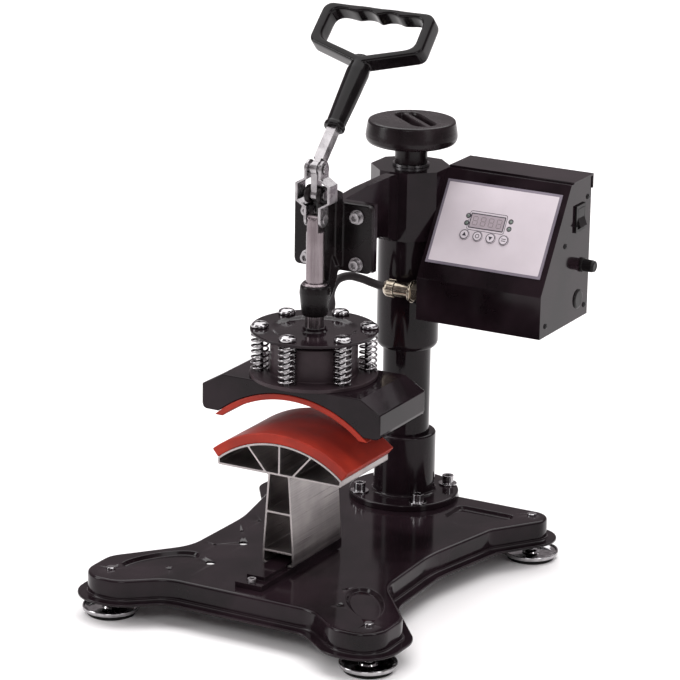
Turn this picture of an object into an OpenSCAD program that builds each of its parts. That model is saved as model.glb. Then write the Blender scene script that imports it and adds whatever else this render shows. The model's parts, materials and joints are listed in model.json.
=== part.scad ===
// Cap heat press with a swing-away head.
// A pressed steel base carries a round column. An octagonal arm swings and climbs on the column.
// The arm holds a push-pull toggle clamp, whose rod drives a sprung heating head down onto a cap platen.
// The column axis is the working axis: X runs to the right, Y to the back and Z up, in millimetres.

/* [Base] */
// Distance between the left and right foot centres
foot_span_x = 312; // [290:1:340]
// Distance between the front and back foot centres
foot_span_y = 384; // [370:1:410]
// Distance of the back feet behind the column axis
foot_back_y = 11; // [4:1:16]
// Half width of the waist between the front and back feet
waist_half = 118; // [112:1:124]
// Height of the pressed tray from its flange to its top
base_h = 26; // [22:1:32]
// Height of the flange above the floor
base_lift = 24; // [22:1:30]
// Sheet thickness of the base
base_wall = 3; // [2.5:0.5:4]
// Width of the flange around the tray
base_flange_w = 11; // [8:1:14]
// Radius of the rounded top edge
base_edge_r = 4; // [3:0.5:5]
// Depth of the pressed pockets in the arms of the base
pocket_depth = 4; // [2:0.5:6]
// Radius of the bench holes on the left arm
bench_hole_r = 5.5; // [4.5:0.25:6.5]
// Distance between the two bench holes
bench_hole_pitch = 70; // [60:1:76]

/* [Feet] */
// Radius of a foot's steel cup
foot_r = 31; // [26:1:34]
// Height of the cup's rim above the floor
foot_rim_z = 10; // [8:0.5:12]
// Radius of the threaded stud
stud_r = 5; // [4:0.5:6]
// Thickness of the rubber sole
sole_t = 3; // [2:0.5:4]

/* [Column] */
// Radius of the bolted foot flange
column_flange_r = 62; // [58:1:68]
// Thickness of the bolted foot flange
column_flange_t = 7; // [6:0.5:10]
// Half the spacing of the four flange bolts
flange_bolt_off = 37; // [35:0.5:40]
// Outer radius of the socket tube and of the arm's sleeve
sleeve_r = 34.7; // [33:0.1:38]
// Outer radius of the inner column
column_r = 26.9; // [25:0.1:29]
// Wall thickness of the inner column
column_wall = 3.5; // [3:0.5:5]
// Height of the socket tube above the base
socket_h = 77; // [60:1:90]
// Radius of the height screw
screw_r = 9; // [8:0.5:11]

/* [Height knob] */
// Largest radius of the knob
knob_r = 51; // [44:1:56]
// Height of the knob without its neck
knob_h = 27; // [24:1:34]
// Radius of the knob's neck
neck_r = 18; // [15:0.5:22]
// Length of the knob's neck
neck_h = 21; // [16:1:26]
// Thickness of the thrust washer under the neck
thrust_t = 3; // [2:0.5:5]

/* [Arm] */
// Reach from the column axis to the press axis
reach = 215; // [205:1:220]
// Distance across the flats of the octagonal hub
hub_flats = 82; // [78:1:92]
// Height of the hub, the web and the front plate
hub_h = 77.6; // [74:0.1:84]
// Length of the sleeve below the hub
sleeve_len = 130; // [110:1:140]
// Thickness of the web
web_t = 12; // [8:1:16]
// Thickness of the arm's front plate
front_plate_t = 8; // [6:0.5:10]
// Distance from the press axis back to the front of the clamp's plate
clamp_setback = 37; // [36:0.5:40]

/* [Toggle clamp] */
// Radius of the plunger rod
rod_r = 10; // [9:0.25:11]
// Length of the lever's crank, from fulcrum to link pin
crank = 28; // [27:0.5:29]
// Length of the links between their pins
link_len = 54; // [53:0.5:58]
// Thickness of a link plate
link_t = 3; // [2.5:0.25:3.5]
// Half width of a link plate
link_half_w = 9; // [8:0.25:10]
// Side of the lever's square bar
bar_w = 11; // [10:0.25:12]
// Thickness of the lever's blade between the ears
blade_t = 7; // [6:0.25:8]
// Angle by which the lever leans back at rest
lever_lean = 45.5; // [40:0.5:50]
// Width of the clamp's bolted plate
clamp_plate_w = 93; // [84:1:100]
// Thickness of the clamp's bolted plate
clamp_plate_t = 8; // [6:0.5:10]
// Sideways spacing of the four clamp bolts
clamp_bolt_x = 59; // [52:1:66]
// Upright spacing of the four clamp bolts
clamp_bolt_z = 52; // [46:1:56]
// Length of the guide barrel
barrel_h = 34; // [28:1:40]

/* [Grip] */
// Outer width of the grip
grip_w = 136; // [124:1:150]
// Distance of the grip's top bar from the link pin
grip_top = 201; // [198:1:210]
// Thickness of the grip
grip_t = 21.5; // [18:0.5:26]
// Radius of a finger scallop
finger_r = 22; // [20:0.5:26]
// Distance between neighbouring finger scallops
finger_pitch = 28.5; // [27:0.5:30]

/* [Press head] */
// Radius of the spring plate
plate_r = 68.6; // [66:0.1:72]
// Thickness of the spring plate
plate_t = 3.5; // [3:0.25:5]
// Radius of the bolt circle
bolt_circle_r = 57.7; // [56.5:0.1:59]
// Number of sprung bolts
bolt_count = 6; // [4, 6]
// Radius of a sprung bolt's shank
bolt_r = 4; // [3:0.25:4.5]
// Free height of the springs
spring_h = 44.5; // [40:0.5:50]
// Mean radius of a spring
spring_r = 8.9; // [8.2:0.1:9.2]
// Wire radius of a spring
wire_r = 1.1; // [0.8:0.1:1.3]
// Turns of a spring
spring_turns = 7.5; // [5.5:0.5:8.5]
// Outer radius of the drum
drum_r = 47; // [42:0.5:47.5]
// Half width of the head housing
housing_half_w = 108; // [104:1:114]
// Depth of the head housing from front to back
housing_depth = 101; // [96:1:104]
// Height of the housing above the top of its arch
housing_crown = 10; // [9:0.5:14]
// Sheet thickness of the housing
housing_wall = 2; // [1.5:0.25:3]
// Thickness of the upper pad
upper_pad_t = 6.5; // [5:0.5:8]

/* [Lower platen] */
// Outer radius of the lower pad, where the cap lies
cap_r = 128.7; // [122:0.1:134]
// Thickness of the lower pad
lower_pad_t = 11; // [8:0.5:13]
// Half width of the aluminium arch
arch_half_w = 75; // [70:0.5:80]
// Length of the aluminium platen from front to back
platen_len = 104; // [96:1:110]
// Height of the stem below the arch's floor
stem_h = 101; // [92:1:108]
// Wall thickness of the extrusion
platen_wall = 2.8; // [2.2:0.1:3.4]
// Half width of the stem at its top
stem_top_half = 13; // [12:0.5:14.5]
// Half width of the stem near its foot
stem_foot_half = 19; // [17.5:0.5:20]
// Gap between the two pads at rest
pad_gap = 31; // [28:0.5:34]

/* [Control box] */
// Width of the control box
box_w = 150; // [146:1:160]
// Depth of the control box
box_d = 121.5; // [118:0.5:128]
// Height of the control box
box_h = 157; // [152:1:164]
// Height of the upright front below the sloping panel
box_front_h = 47.5; // [44:0.5:52]
// Depth of the flat top
box_top_d = 52; // [46:1:56]
// Sheet thickness of the control box
box_wall = 2; // [1.5:0.25:2.5]
// Width of the panel plate
panel_w = 138.6; // [134:0.2:140]
// Height of the panel plate along the slope
panel_h = 97.6; // [94:0.2:100]
// Radius of a button
button_r = 5.6; // [4.5:0.1:6]
// Distance between neighbouring buttons
button_pitch = 15.8; // [14:0.1:17]

/* [Lead] */
// Radius of the heater lead
lead_r = 4.7; // [4:0.1:5]
// Radius of the gland's cap
gland_r = 10; // [9:0.5:10.5]

/* [Clearances] */
// Radial clearance of a running fit
run_gap = 0.05; // [0.02:0.01:0.1]
// Clearance beside a moving flat face
slide_gap = 0.3; // [0.2:0.05:0.5]

/* [Hidden] */
round_fn = 64;
eps = 0.01;

// Heights, from the floor up
base_top = base_lift + base_h;
rail_strap_t = 5.7;
rail_h = 4.3;
platen_floor = base_top + rail_strap_t + slide_gap;
chord_z = platen_floor + stem_h;
tip_h = 7.5;
arch_r = cap_r - lower_pad_t;
arch_centre_z = chord_z + tip_h - sqrt(arch_r * arch_r - arch_half_w * arch_half_w);
cap_top = arch_centre_z + cap_r;
closed_gap = 0.5;
travel = pad_gap - closed_gap;
upper_centre_z = arch_centre_z + travel;
upper_in_r = cap_r + closed_gap;
upper_out_r = upper_in_r + upper_pad_t;
housing_top = upper_centre_z + upper_out_r + housing_crown;
head_low_z = cap_top + 0.8;
housing_low = cap_top + 5.5;
drum_plate_t = 4;
spring_z = housing_top + drum_plate_t;
plate_top = spring_z + spring_h + plate_t;
rod_low = plate_top - 9;
arm_z = plate_top + 55;
hub_top = arm_z + hub_h;
arm_mid = arm_z + hub_h / 2;
column_top = arm_z + 48;
fulcrum_z = arm_z + 91;
link_top_z = fulcrum_z + crank;
link_low_z = link_top_z - link_len;
press_y = -reach;
clamp_front_y = press_y + clamp_setback;
clamp_back_y = clamp_front_y + clamp_plate_t;
front_plate_y = clamp_back_y + front_plate_t;

// Base outline: corner x, corner y and corner radius of the right half, front to back
foot_x = foot_span_x / 2;
foot_front_y = foot_back_y - foot_span_y;
foot_places = [
    [-foot_x, foot_front_y], [foot_x, foot_front_y], [-foot_x, foot_back_y], [foot_x, foot_back_y]
];
base_half = [
    [foot_x - 68, foot_front_y + 4, 45],
    [foot_x - 26, foot_front_y - 30.5, 35],
    [foot_x + 23.5, foot_front_y - 30.5, 30],
    [foot_x + 23.5, foot_front_y + 33, 30],
    [waist_half + 3, foot_front_y + 105, 55],
    [waist_half, foot_back_y - 171, 150],
    [foot_x - 17, foot_back_y - 68, 22],
    [foot_x + 19.5, foot_back_y - 14, 17],
    [foot_x + 20, foot_back_y + 14, 20]
];
base_corners = concat(base_half, [for (i = [len(base_half) - 1:-1:0]) mirrored(base_half[i])]);
pocket_at = [foot_x - 31, foot_front_y + 50.5];
pocket_len = 90;
pocket_w = 38;
pocket_turn = 126;
pocket_draft = 3.5;
rear_pocket = [
    [foot_x - 84, foot_back_y - 52, 8], [foot_x - 50, foot_back_y - 76, 10],
    [foot_x - 5, foot_back_y - 12, 9], [foot_x - 84, foot_back_y - 12, 8]
];
bench_x = -74;
bench_y = -269;
pilot_r = 2.3;
pilot_holes = [[-97, -292], [-98, -254], [-94.5, -202], [-94, -164], [-101, -344], [86, -299], [104, -344]];

// Lower platen
platen_back_y = press_y + 31;
platen_front_y = platen_back_y - platen_len;
rail_half_w = 11;
rail_back_y = platen_back_y - 4;
rail_front_y = platen_front_y - 47;
strap_half_w = 16;
rail_screw_at = [[0, rail_front_y - 8], [0, rail_back_y + 6]];

// Toggle clamp
tang_half = 6.7;
link_in = tang_half + slide_gap;
link_out = link_in + link_t;
bow_in = 17.7;
ear_in = blade_t / 2 + 0.7;
ear_out = 10.1;
ear_r = 10;
pin_r = 3;
fulcrum_r = 4;
boss_half = 12;
boss_t = 15;
barrel_low = arm_z - 41;
barrel_top = barrel_low + barrel_h;
clamp_bolt_places = [for (x = [-1, 1], z = [-1, 1]) [x * clamp_bolt_x / 2, arm_mid - 2.8 + z * clamp_bolt_z / 2]];

// Grip, in the lever's own frame: X across, Y along the lever from the link pin, Z through the grip
stem_start = 50;
stem_r1 = 10.3;
stem_r2 = 12.9;
grip_shoulder = grip_top - 51;
grip_neck = grip_top - 72.5;
stem_end = grip_neck - 4.5;
grip_rim = 11;

// Head
housing_front = press_y - housing_depth / 2 - 0.5;
housing_back = housing_front + housing_depth;
bolt_places = [for (i = [0:bolt_count - 1]) bolt_circle_r * [cos(30 + i * 360 / bolt_count), sin(30 + i * 360 / bolt_count)]];

// Control box
box_x0 = hub_flats / 2;
box_x1 = box_x0 + box_w;
box_y0 = -60;
box_y1 = box_y0 + box_d;
box_z0 = arm_z - 79;
box_z1 = box_z0 + box_h;
slope_y = box_d - box_top_d;
slope_z = box_h - box_front_h;
slope_len = sqrt(slope_y * slope_y + slope_z * slope_z);
slope_turn = atan2(slope_z, slope_y);
panel_t = 1.2;
panel_u = 4.9;
panel_v = 19.4;
display_at = [64.9, 73.6];
display_size = [40, 15.5];
lamp_places = [[41, 69.8], [41, 78.3], [92.4, 69.8], [92.4, 78.3]];
lamp_r = 1.9;
button_at = [42.6, 56.3];
button_travel = 0.8;
rocker_at = [box_y0 + 92, box_z0 + 116];
rocker_size = [24, 30];
fuse_at = [box_y0 + 103, box_z0 + 60];
fuse_r = 8;
plug_at = [box_y0 + 95, box_z0 + 23];
plug_r = 11;
mains_at = [box_x0 + 112, box_z0 + 26];
gland_y = -47.5;
gland_z = arm_z - 52;
gland_tip = -4;
lead_end_z = housing_top + drum_plate_t + 10.3;
lead_turn = 110;
lead_in = [for (r = [drum_r + 11, drum_r + 5.5, drum_r + slide_gap])
    [r * cos(lead_turn), press_y + r * sin(lead_turn), lead_end_z]];

// Route of the heater lead, from the gland in between the head's two plates to its drum
lead_route = concat([
    [gland_tip, gland_y, gland_z], [gland_tip - 8, gland_y - 0.5, gland_z + 1], [-20, -51.5, 309], [-27.5, -61, 314.5],
    [-34, -76, 320], [-38, -93, 320], [-37, -108, 315], [-33, -120, 308.5], [-27, -129, 301.5],
    [-26, -136, 289], [-27, -139, 280], [-26.5, -142.5, 271], [-24, -149, 265.5]
], lead_in);

// Origin: the middle of the whole part's box, on the floor
box_reach_x = box_x1 + 16.5;
flange_reach_x = foot_x + 23.5 + base_flange_w;
origin_x = (box_reach_x - flange_reach_x) / 2;
flange_front_y = foot_front_y - 30.5 - base_flange_w;
mains_reach_y = box_y1 + 17;
origin_y = (flange_front_y + mains_reach_y) / 2;

function unit(v) = v / norm(v);
function mirrored(c) = [-c[0], c[1], c[2]];
function xy(c) = [c[0], c[1]];
function pick(list, i) = list[(i + len(list)) % len(list)];

// One rounded corner at q between p and s, as n + 1 points on an arc of radius r
function corner_arc(p, q, s, r, n) =
    let (a = unit(p - q), b = unit(s - q), half = acos(a * b) / 2)
    let (c = q + unit(a + b) * r / sin(half), start = q + a * r / tan(half) - c)
    let (turn = sign(cross(q - p, s - q)) * (180 - 2 * half), a0 = atan2(start[1], start[0]))
    [for (i = [0:n]) c + r * [cos(a0 + turn * i / n), sin(a0 + turn * i / n)]];

// Outline through corners [x, y, radius]
function rounded(cs, n) = [
    for (i = [0:len(cs) - 1])
        each corner_arc(xy(pick(cs, i - 1)), xy(cs[i]), xy(pick(cs, i + 1)), cs[i][2], n)
];

// The same corners moved outwards by d, with their radii following
function grown(cs, d) = [
    for (i = [0:len(cs) - 1])
        let (p = xy(pick(cs, i - 1)), q = xy(cs[i]), s = xy(pick(cs, i + 1)))
        let (u = unit(q - p), v = unit(s - q), side = sign(cross(u, v)))
        let (n1 = [u[1], -u[0]], n2 = [v[1], -v[0]], m = q + (n1 + n2) * d / (1 + n1 * n2))
        [m[0], m[1], max(cs[i][2] + side * d, 2)]
];

// Egg outline: an ellipse whose width grows towards one end
function egg(l, w, grow, n) = [
    for (i = [0:n - 1]) let (a = 360 * i / n) [cos(a) * l / 2, sin(a) * w / 2 * (1 + grow * cos(a))]
];
function turned(p, a) = [p[0] * cos(a) - p[1] * sin(a), p[0] * sin(a) + p[1] * cos(a)];
function at_z(outline, z) = [for (p = outline) [p[0], p[1], z]];

// Smooth curve through the points of a route, k steps between neighbours
function catmull(a, b, c, d, t) =
    0.5 * ((2 * b) + (c - a) * t + (2 * a - 5 * b + 4 * c - d) * t * t + (3 * b - a - 3 * c + d) * t * t * t);
function smooth(r, k) = [
    for (i = [0:len(r) - 2], j = [0:k - 1])
        catmull(r[max(i - 1, 0)], r[i], r[i + 1], r[min(i + 2, len(r) - 1)], j / k),
    r[len(r) - 1]
];

// Rings of a round tube of radius r along a path, each ring turned as little as possible from the last
function path_dir(p, i) = unit(p[min(i + 1, len(p) - 1)] - p[max(i - 1, 0)]);
function side_of(d, last) = unit(last - d * (last * d));
function ring_at(c, d, side, r, n) = [
    for (k = [0:n - 1]) c + r * (side * cos(360 * k / n) + cross(d, side) * sin(360 * k / n))
];
function tube_rings(p, r, n, start_side) = [
    for (i = 0, d = path_dir(p, 0), s = side_of(d, start_side); i < len(p);
        i = i + 1, d = path_dir(p, min(i, len(p) - 1)), s = side_of(d, s))
        ring_at(p[i], d, s, r, n)
];

// Closed solid through a stack of rings that all have the same number of points
module skin(rings) {
    n = len(rings[0]);
    m = len(rings);
    sides = [
        for (i = [0:m - 2], k = [0:n - 1])
            let (a = i * n + k, b = i * n + (k + 1) % n)
            each [[a, a + n, b], [b, a + n, b + n]]
    ];
    caps = [[for (k = [0:n - 1]) k], [for (k = [n - 1:-1:0]) (m - 1) * n + k]];
    polyhedron(points = [for (r = rings) each r], faces = concat(sides, caps), convexity = 10);
}

// Moves a node from the column axis to the part's own origin
module placed() {
    translate([-origin_x, -origin_y, 0]) children();
}

module disc(r, h) {
    cylinder(r = r, h = h, $fn = round_fn);
}

module hex(flats, h) {
    cylinder(d = flats / cos(30), h = h, $fn = 6);
}

// A rod along X, centred on x = 0
module cross_rod(r, len) {
    rotate([0, 90, 0]) cylinder(r = r, h = len, center = true, $fn = round_fn);
}

// A rod along Y from y0 to y1
module long_rod(r, y0, y1) {
    translate([0, y1, 0]) rotate([90, 0, 0]) cylinder(r = r, h = y1 - y0, $fn = 128);
}

// An X-Z outline drawn out along Y from y0 to y1
module drawn_y(outline, y0, y1) {
    translate([0, y1, 0]) rotate([90, 0, 0]) linear_extrude(y1 - y0) polygon(outline);
}

// A Y-Z outline drawn out along X from x0 to x1
module drawn_x(outline, x0, x1) {
    translate([x0, 0, 0]) rotate([90, 0, 90]) linear_extrude(x1 - x0) polygon(outline);
}

// Socket head screw standing on z = 0, with a washer under the head and its shank below
module socket_screw(head_r, head_h, shank_r, shank_len, washer_r, washer_t) {
    translate([0, 0, washer_t]) {
        difference() {
            disc(head_r, head_h);
            translate([0, 0, head_h * 0.45]) hex(head_r * 1.05, head_h);
        }
    }
    translate([0, 0, -shank_len]) disc(shank_r, shank_len + washer_t + eps);
    if (washer_r > 0) {
        difference() {
            disc(washer_r, washer_t);
            translate([0, 0, -1]) disc(shank_r, washer_t + 2);
        }
    }
}

// Pressed steel tray with a flange, rounded top edge, pockets and holes
module base_frame() {
    color("#18181a") placed() difference() {
        union() {
            difference() {
                base_outside();
                slab(base_wall, base_lift - 1, base_top - base_wall);
                translate([0, 0, base_lift - 1]) disc(seat_r - base_wall, base_h - base_wall + 1);
            }
            for (m = [0, 1]) mirror([m, 0, 0]) pocket_walls();
        }
        for (m = [0, 1]) mirror([m, 0, 0]) pocket_cut();
        for (p = foot_places) translate([p[0], p[1], base_lift]) disc(stud_r + run_gap, base_h + 1);
        for (s = [-1, 1]) translate([bench_x, bench_y + s * bench_hole_pitch / 2, base_lift])
            disc(bench_hole_r, base_h + 1);
        for (p = pilot_holes) translate([p[0], p[1], base_lift]) disc(pilot_r, base_h + 1);
        for (x = [-1, 1], y = [-1, 1]) translate([x * flange_bolt_off, y * flange_bolt_off, base_lift])
            disc(flange_screw_r, base_h + 1);
        for (p = rail_screw_at) translate([p[0], p[1], base_lift]) disc(rail_screw_r, base_h + 1);
    }
}

flange_screw_r = 5;
rail_screw_r = 3;
seat_r = column_flange_r - 2;

// A slab of the tray's outline, moved inwards by d, from z0 to z1
module slab(d, z0, z1) {
    translate([0, 0, z0]) linear_extrude(z1 - z0) polygon(rounded(grown(base_corners, -d), 5));
}

// Outer form of the tray, with a round seat for the column that reaches past the back edge
module base_outside() {
    slab(-base_flange_w, base_lift, base_lift + base_wall);
    translate([0, 0, base_lift]) disc(seat_r + base_flange_w - 2, base_wall);
    translate([0, 0, base_lift]) disc(seat_r, base_h);
    for (a = [20, 45, 68, 90])
        slab(base_edge_r * (1 - cos(a)), base_lift, base_top - base_edge_r * (1 - sin(a)));
}

function pocket_outline(d) = [
    for (p = egg(pocket_len - 2 * d, pocket_w - 2 * d, 0.12, 32)) pocket_at + turned(p, pocket_turn)
];

// Pressed pockets, sunk in steps that follow their sloping sides
module pocket_cut() {
    for (i = [0, 1, 2]) translate([0, 0, base_top - pocket_depth * (3 - i) / 3]) {
        linear_extrude(pocket_depth) polygon(pocket_outline(pocket_draft * (2 - i) / 2));
        linear_extrude(pocket_depth) polygon(rounded(grown(rear_pocket, -pocket_draft * (2 - i) / 2), 4));
    }
}

module pocket_walls() {
    translate([0, 0, base_top - pocket_depth - base_wall]) {
        linear_extrude(pocket_depth + eps) polygon(pocket_outline(-base_wall));
        linear_extrude(pocket_depth + eps) polygon(rounded(grown(rear_pocket, base_wall), 4));
    }
}

// Bar that the platen's stem straddles, on a wider strap
module platen_rail() {
    color("#1b1b1d") placed() difference() {
        union() {
            translate([-strap_half_w, rail_front_y - 16, base_top])
                cube([2 * strap_half_w, rail_back_y - rail_front_y + 28, rail_strap_t]);
            translate([-rail_half_w, rail_front_y, base_top])
                cube([2 * rail_half_w, rail_back_y - rail_front_y, rail_strap_t + rail_h]);
        }
        for (p = rail_screw_at) translate([p[0], p[1], base_top - 1]) disc(rail_screw_r, 30);
    }
}

module rail_screws() {
    color("silver") placed() for (p = rail_screw_at)
        translate([p[0], p[1], base_top + rail_strap_t])
            socket_screw(4.6, 4, rail_screw_r - run_gap, rail_strap_t + base_wall, 0, 0);
}

// Bolted flange with the socket tube, joined by a weld fillet
module column_foot() {
    weld = 4;
    color("#18181a") placed() translate([0, 0, base_top]) difference() {
        rotate_extrude($fn = 128) polygon([
            [column_r + run_gap, 0], [column_flange_r, 0], [column_flange_r, column_flange_t - 1],
            [column_flange_r - 1, column_flange_t], [sleeve_r + weld, column_flange_t],
            [sleeve_r + weld * 0.3, column_flange_t + weld * 0.3], [sleeve_r, column_flange_t + weld],
            [sleeve_r, socket_h - 1.5], [sleeve_r - 1.5, socket_h], [column_r + run_gap, socket_h]
        ]);
        for (x = [-1, 1], y = [-1, 1]) translate([x * flange_bolt_off, y * flange_bolt_off, -1])
            disc(flange_screw_r, column_flange_t + 2);
    }
}

module flange_bolts() {
    color("silver") placed() for (x = [-1, 1], y = [-1, 1])
        translate([x * flange_bolt_off, y * flange_bolt_off, base_top + column_flange_t])
            socket_screw(6.5, 9, flange_screw_r - run_gap, column_flange_t + base_wall, 10.3, 1.8);
}

// Inner column with the screw's nut welded into its top
module column_tube() {
    bore = column_r - column_wall;
    nut_h = 26;
    color("#202022") placed() difference() {
        translate([0, 0, base_top]) disc(column_r, column_top - base_top);
        translate([0, 0, base_top - 1]) disc(bore, column_top - base_top - nut_h + 1);
        translate([0, 0, column_top - nut_h - 1]) disc(screw_r + run_gap, nut_h + 2);
    }
}

module foot_nuts() {
    nut_h = 8;
    color("silver") placed() for (p = foot_places)
        translate([p[0], p[1], base_top - base_wall - nut_h]) difference() {
            hex(17, nut_h);
            translate([0, 0, -1]) disc(stud_r + run_gap, nut_h + 2);
        }
}

// Steel cup with a rolled rim and its stud
module foot(p) {
    t = 1.8;
    color("silver") placed() translate([p[0], p[1], 0]) rotate_extrude($fn = 96) polygon([
        [0, sole_t], [foot_r - 4, sole_t], [foot_r - 0.6, sole_t + 2.2], [foot_r, foot_rim_z - 1],
        [foot_r - 0.8, foot_rim_z], [foot_r - 2, foot_rim_z - 0.5], [foot_r - 2.6, sole_t + 4],
        [foot_r - 6, sole_t + t], [9, sole_t + t + 1], [8, sole_t + t + 4], [stud_r, sole_t + t + 5],
        [stud_r, base_top + 1.2], [stud_r - 1, base_top + 2.2], [0, base_top + 2.2]
    ]);
}

module sole(p) {
    color("#141414") placed() translate([p[0], p[1], 0]) rotate_extrude($fn = 96) polygon([
        [0, 0.6], [foot_r - 12, 0.6], [foot_r - 11, 0], [foot_r - 5.5, 0], [foot_r - 5, 0.5],
        [foot_r - 5, sole_t], [0, sole_t]
    ]);
}

// Extruded arch on a tapered stem, with thin walls and ribs
module lower_platen() {
    w = platen_wall;
    shoulder_z = chord_z - stem_h * 0.416;
    ankle_z = chord_z - stem_h * 0.85;
    mid_half = (stem_top_half + stem_foot_half) / 2;
    slot_half = rail_half_w + 0.5;
    color("#c9cbcd") placed() {
        difference() {
            union() {
                intersection() {
                    translate([0, 0, arch_centre_z]) long_rod(arch_r, platen_front_y, platen_back_y);
                    translate([-arch_half_w, platen_front_y - 1, chord_z])
                        cube([2 * arch_half_w, platen_len + 2, cap_r]);
                }
                drawn_y(stem_outline(0, shoulder_z, ankle_z, mid_half), platen_front_y, platen_back_y);
            }
            arch_cells(w);
            stem_cells(w, shoulder_z, ankle_z, mid_half);
            translate([-slot_half, platen_front_y - 1, platen_floor - 1])
                cube([2 * slot_half, platen_len + 2, w + 3]);
        }
    }
}

// Right and left side of the stem, moved inwards by d
function stem_outline(d, shoulder_z, ankle_z, mid_half) =
    let (r = 9 - d * 0.9, low = platen_floor + d, side = stem_foot_half - d)
    let (right = concat(
        [for (i = [0:5]) [side - r + r * sin(i * 18), low + r - r * cos(i * 18)]],
        [[side, ankle_z], [mid_half - d, shoulder_z], [stem_top_half - d, chord_z + eps]]
    ))
    concat(right, [for (i = [len(right) - 1:-1:0]) [-right[i][0], right[i][1]]]);

// Cells under the arch: two outer, two middle, split by the ribs and the floor
module arch_cells(w) {
    rib_low = 15;
    rib_high = 39;
    rib_slope = (rib_high - rib_low) / (arch_centre_z + arch_r * 0.94 - chord_z);
    top = cap_r * 2;
    difference() {
        intersection() {
            translate([0, 0, arch_centre_z]) long_rod(arch_r - w, platen_front_y - 1, platen_back_y + 1);
            translate([-arch_half_w + w, platen_front_y - 1, chord_z + w])
                cube([2 * (arch_half_w - w), platen_len + 2, cap_r]);
        }
        translate([-w / 2, platen_front_y - 2, chord_z]) cube([w, platen_len + 4, cap_r]);
        for (m = [0, 1]) mirror([m, 0, 0]) drawn_y([
            [rib_low - w / 2, chord_z], [rib_low + w / 2, chord_z],
            [rib_low + w / 2 + rib_slope * top, chord_z + top], [rib_low - w / 2 + rib_slope * top, chord_z + top]
        ], platen_front_y - 2, platen_back_y + 2);
    }
}

module stem_cells(w, shoulder_z, ankle_z, mid_half) {
    difference() {
        drawn_y(stem_outline(w, shoulder_z, ankle_z, mid_half), platen_front_y - 1, platen_back_y + 1);
        for (z = [shoulder_z, ankle_z, chord_z + w / 2])
            translate([-2 * stem_foot_half, platen_front_y - 2, z - w / 2])
                cube([4 * stem_foot_half, platen_len + 4, w]);
    }
}

// Silicone pad on the arch, its ends cut towards the arch's centre
module lower_pad() {
    pad_half_angle = asin(arch_half_w / arch_r);
    far = cap_r * 1.5;
    color("#b8402e") placed() translate([0, 0, arch_centre_z]) difference() {
        intersection() {
            long_rod(cap_r, platen_front_y, platen_back_y);
            drawn_y([
                [0, 0], [far * sin(pad_half_angle), far * cos(pad_half_angle)], [0, far],
                [-far * sin(pad_half_angle), far * cos(pad_half_angle)]
            ], platen_front_y - 1, platen_back_y + 1);
        }
        long_rod(arch_r, platen_front_y - 1, platen_back_y + 1);
    }
}

module thrust_washer() {
    color("#8c8f93") placed() translate([0, 0, hub_top + slide_gap / 3]) difference() {
        disc(neck_r + 2.4, thrust_t);
        translate([0, 0, -1]) disc(screw_r + run_gap, thrust_t + 2);
    }
}

knob_z = hub_top + thrust_t + 2 * slide_gap / 3;

// Moulded knob: neck, drum with a rounded shoulder and an oval finger well with a bar across it
module height_knob() {
    top = neck_h + knob_h;
    well_len = 46;
    well_r = 13;
    well_d = 9;
    color("#161618") placed() translate([0, 0, knob_z]) {
        difference() {
            rotate_extrude($fn = 128) polygon([
                [screw_r, 0], [neck_r, 0], [neck_r, neck_h - 2], [neck_r + 4, neck_h],
                [knob_r - 7, neck_h + 0.6], [knob_r - 3, neck_h + 2.2], [knob_r - 0.9, neck_h + 5],
                [knob_r, neck_h + 9], [knob_r - 0.6, neck_h + 14], [knob_r - 2.4, top - 2.2],
                [knob_r - 3.4, top - 0.6], [knob_r - 5.2, top], [0, top], [0, top - 14], [screw_r, top - 14]
            ]);
            rotate([0, 0, -40]) translate([0, 4, top - well_d]) {
                for (s = [-1, 1]) translate([s * well_len / 2, 0, 0]) disc(well_r, well_d + 1);
                translate([-well_len / 2, -well_r, 0]) cube([well_len, 2 * well_r, well_d + 1]);
            }
            translate([-neck_r - 1, 0, neck_h * 0.45]) rotate([0, 90, 0]) disc(set_screw_r, neck_r);
        }
        rotate([0, 0, -40]) translate([-well_len / 2 - 6, 0, top - well_d - eps]) cube([well_len + 12, 7, well_d - 1.5]);
    }
}

set_screw_r = 2.5;

module knob_set_screw() {
    color("silver") placed() translate([-neck_r - 0.6, 0, knob_z + neck_h * 0.45]) rotate([0, 90, 0]) difference() {
        disc(set_screw_r - run_gap, neck_r - screw_r);
        translate([0, 0, -1]) hex(2.4, 3);
    }
}

// Height screw, fixed in the knob and turning in the column's nut
module height_screw() {
    color("#9a9da1") placed() translate([0, 0, arm_z - 8]) disc(screw_r - run_gap / 2, knob_z + 24 - arm_z + 8);
}

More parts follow.
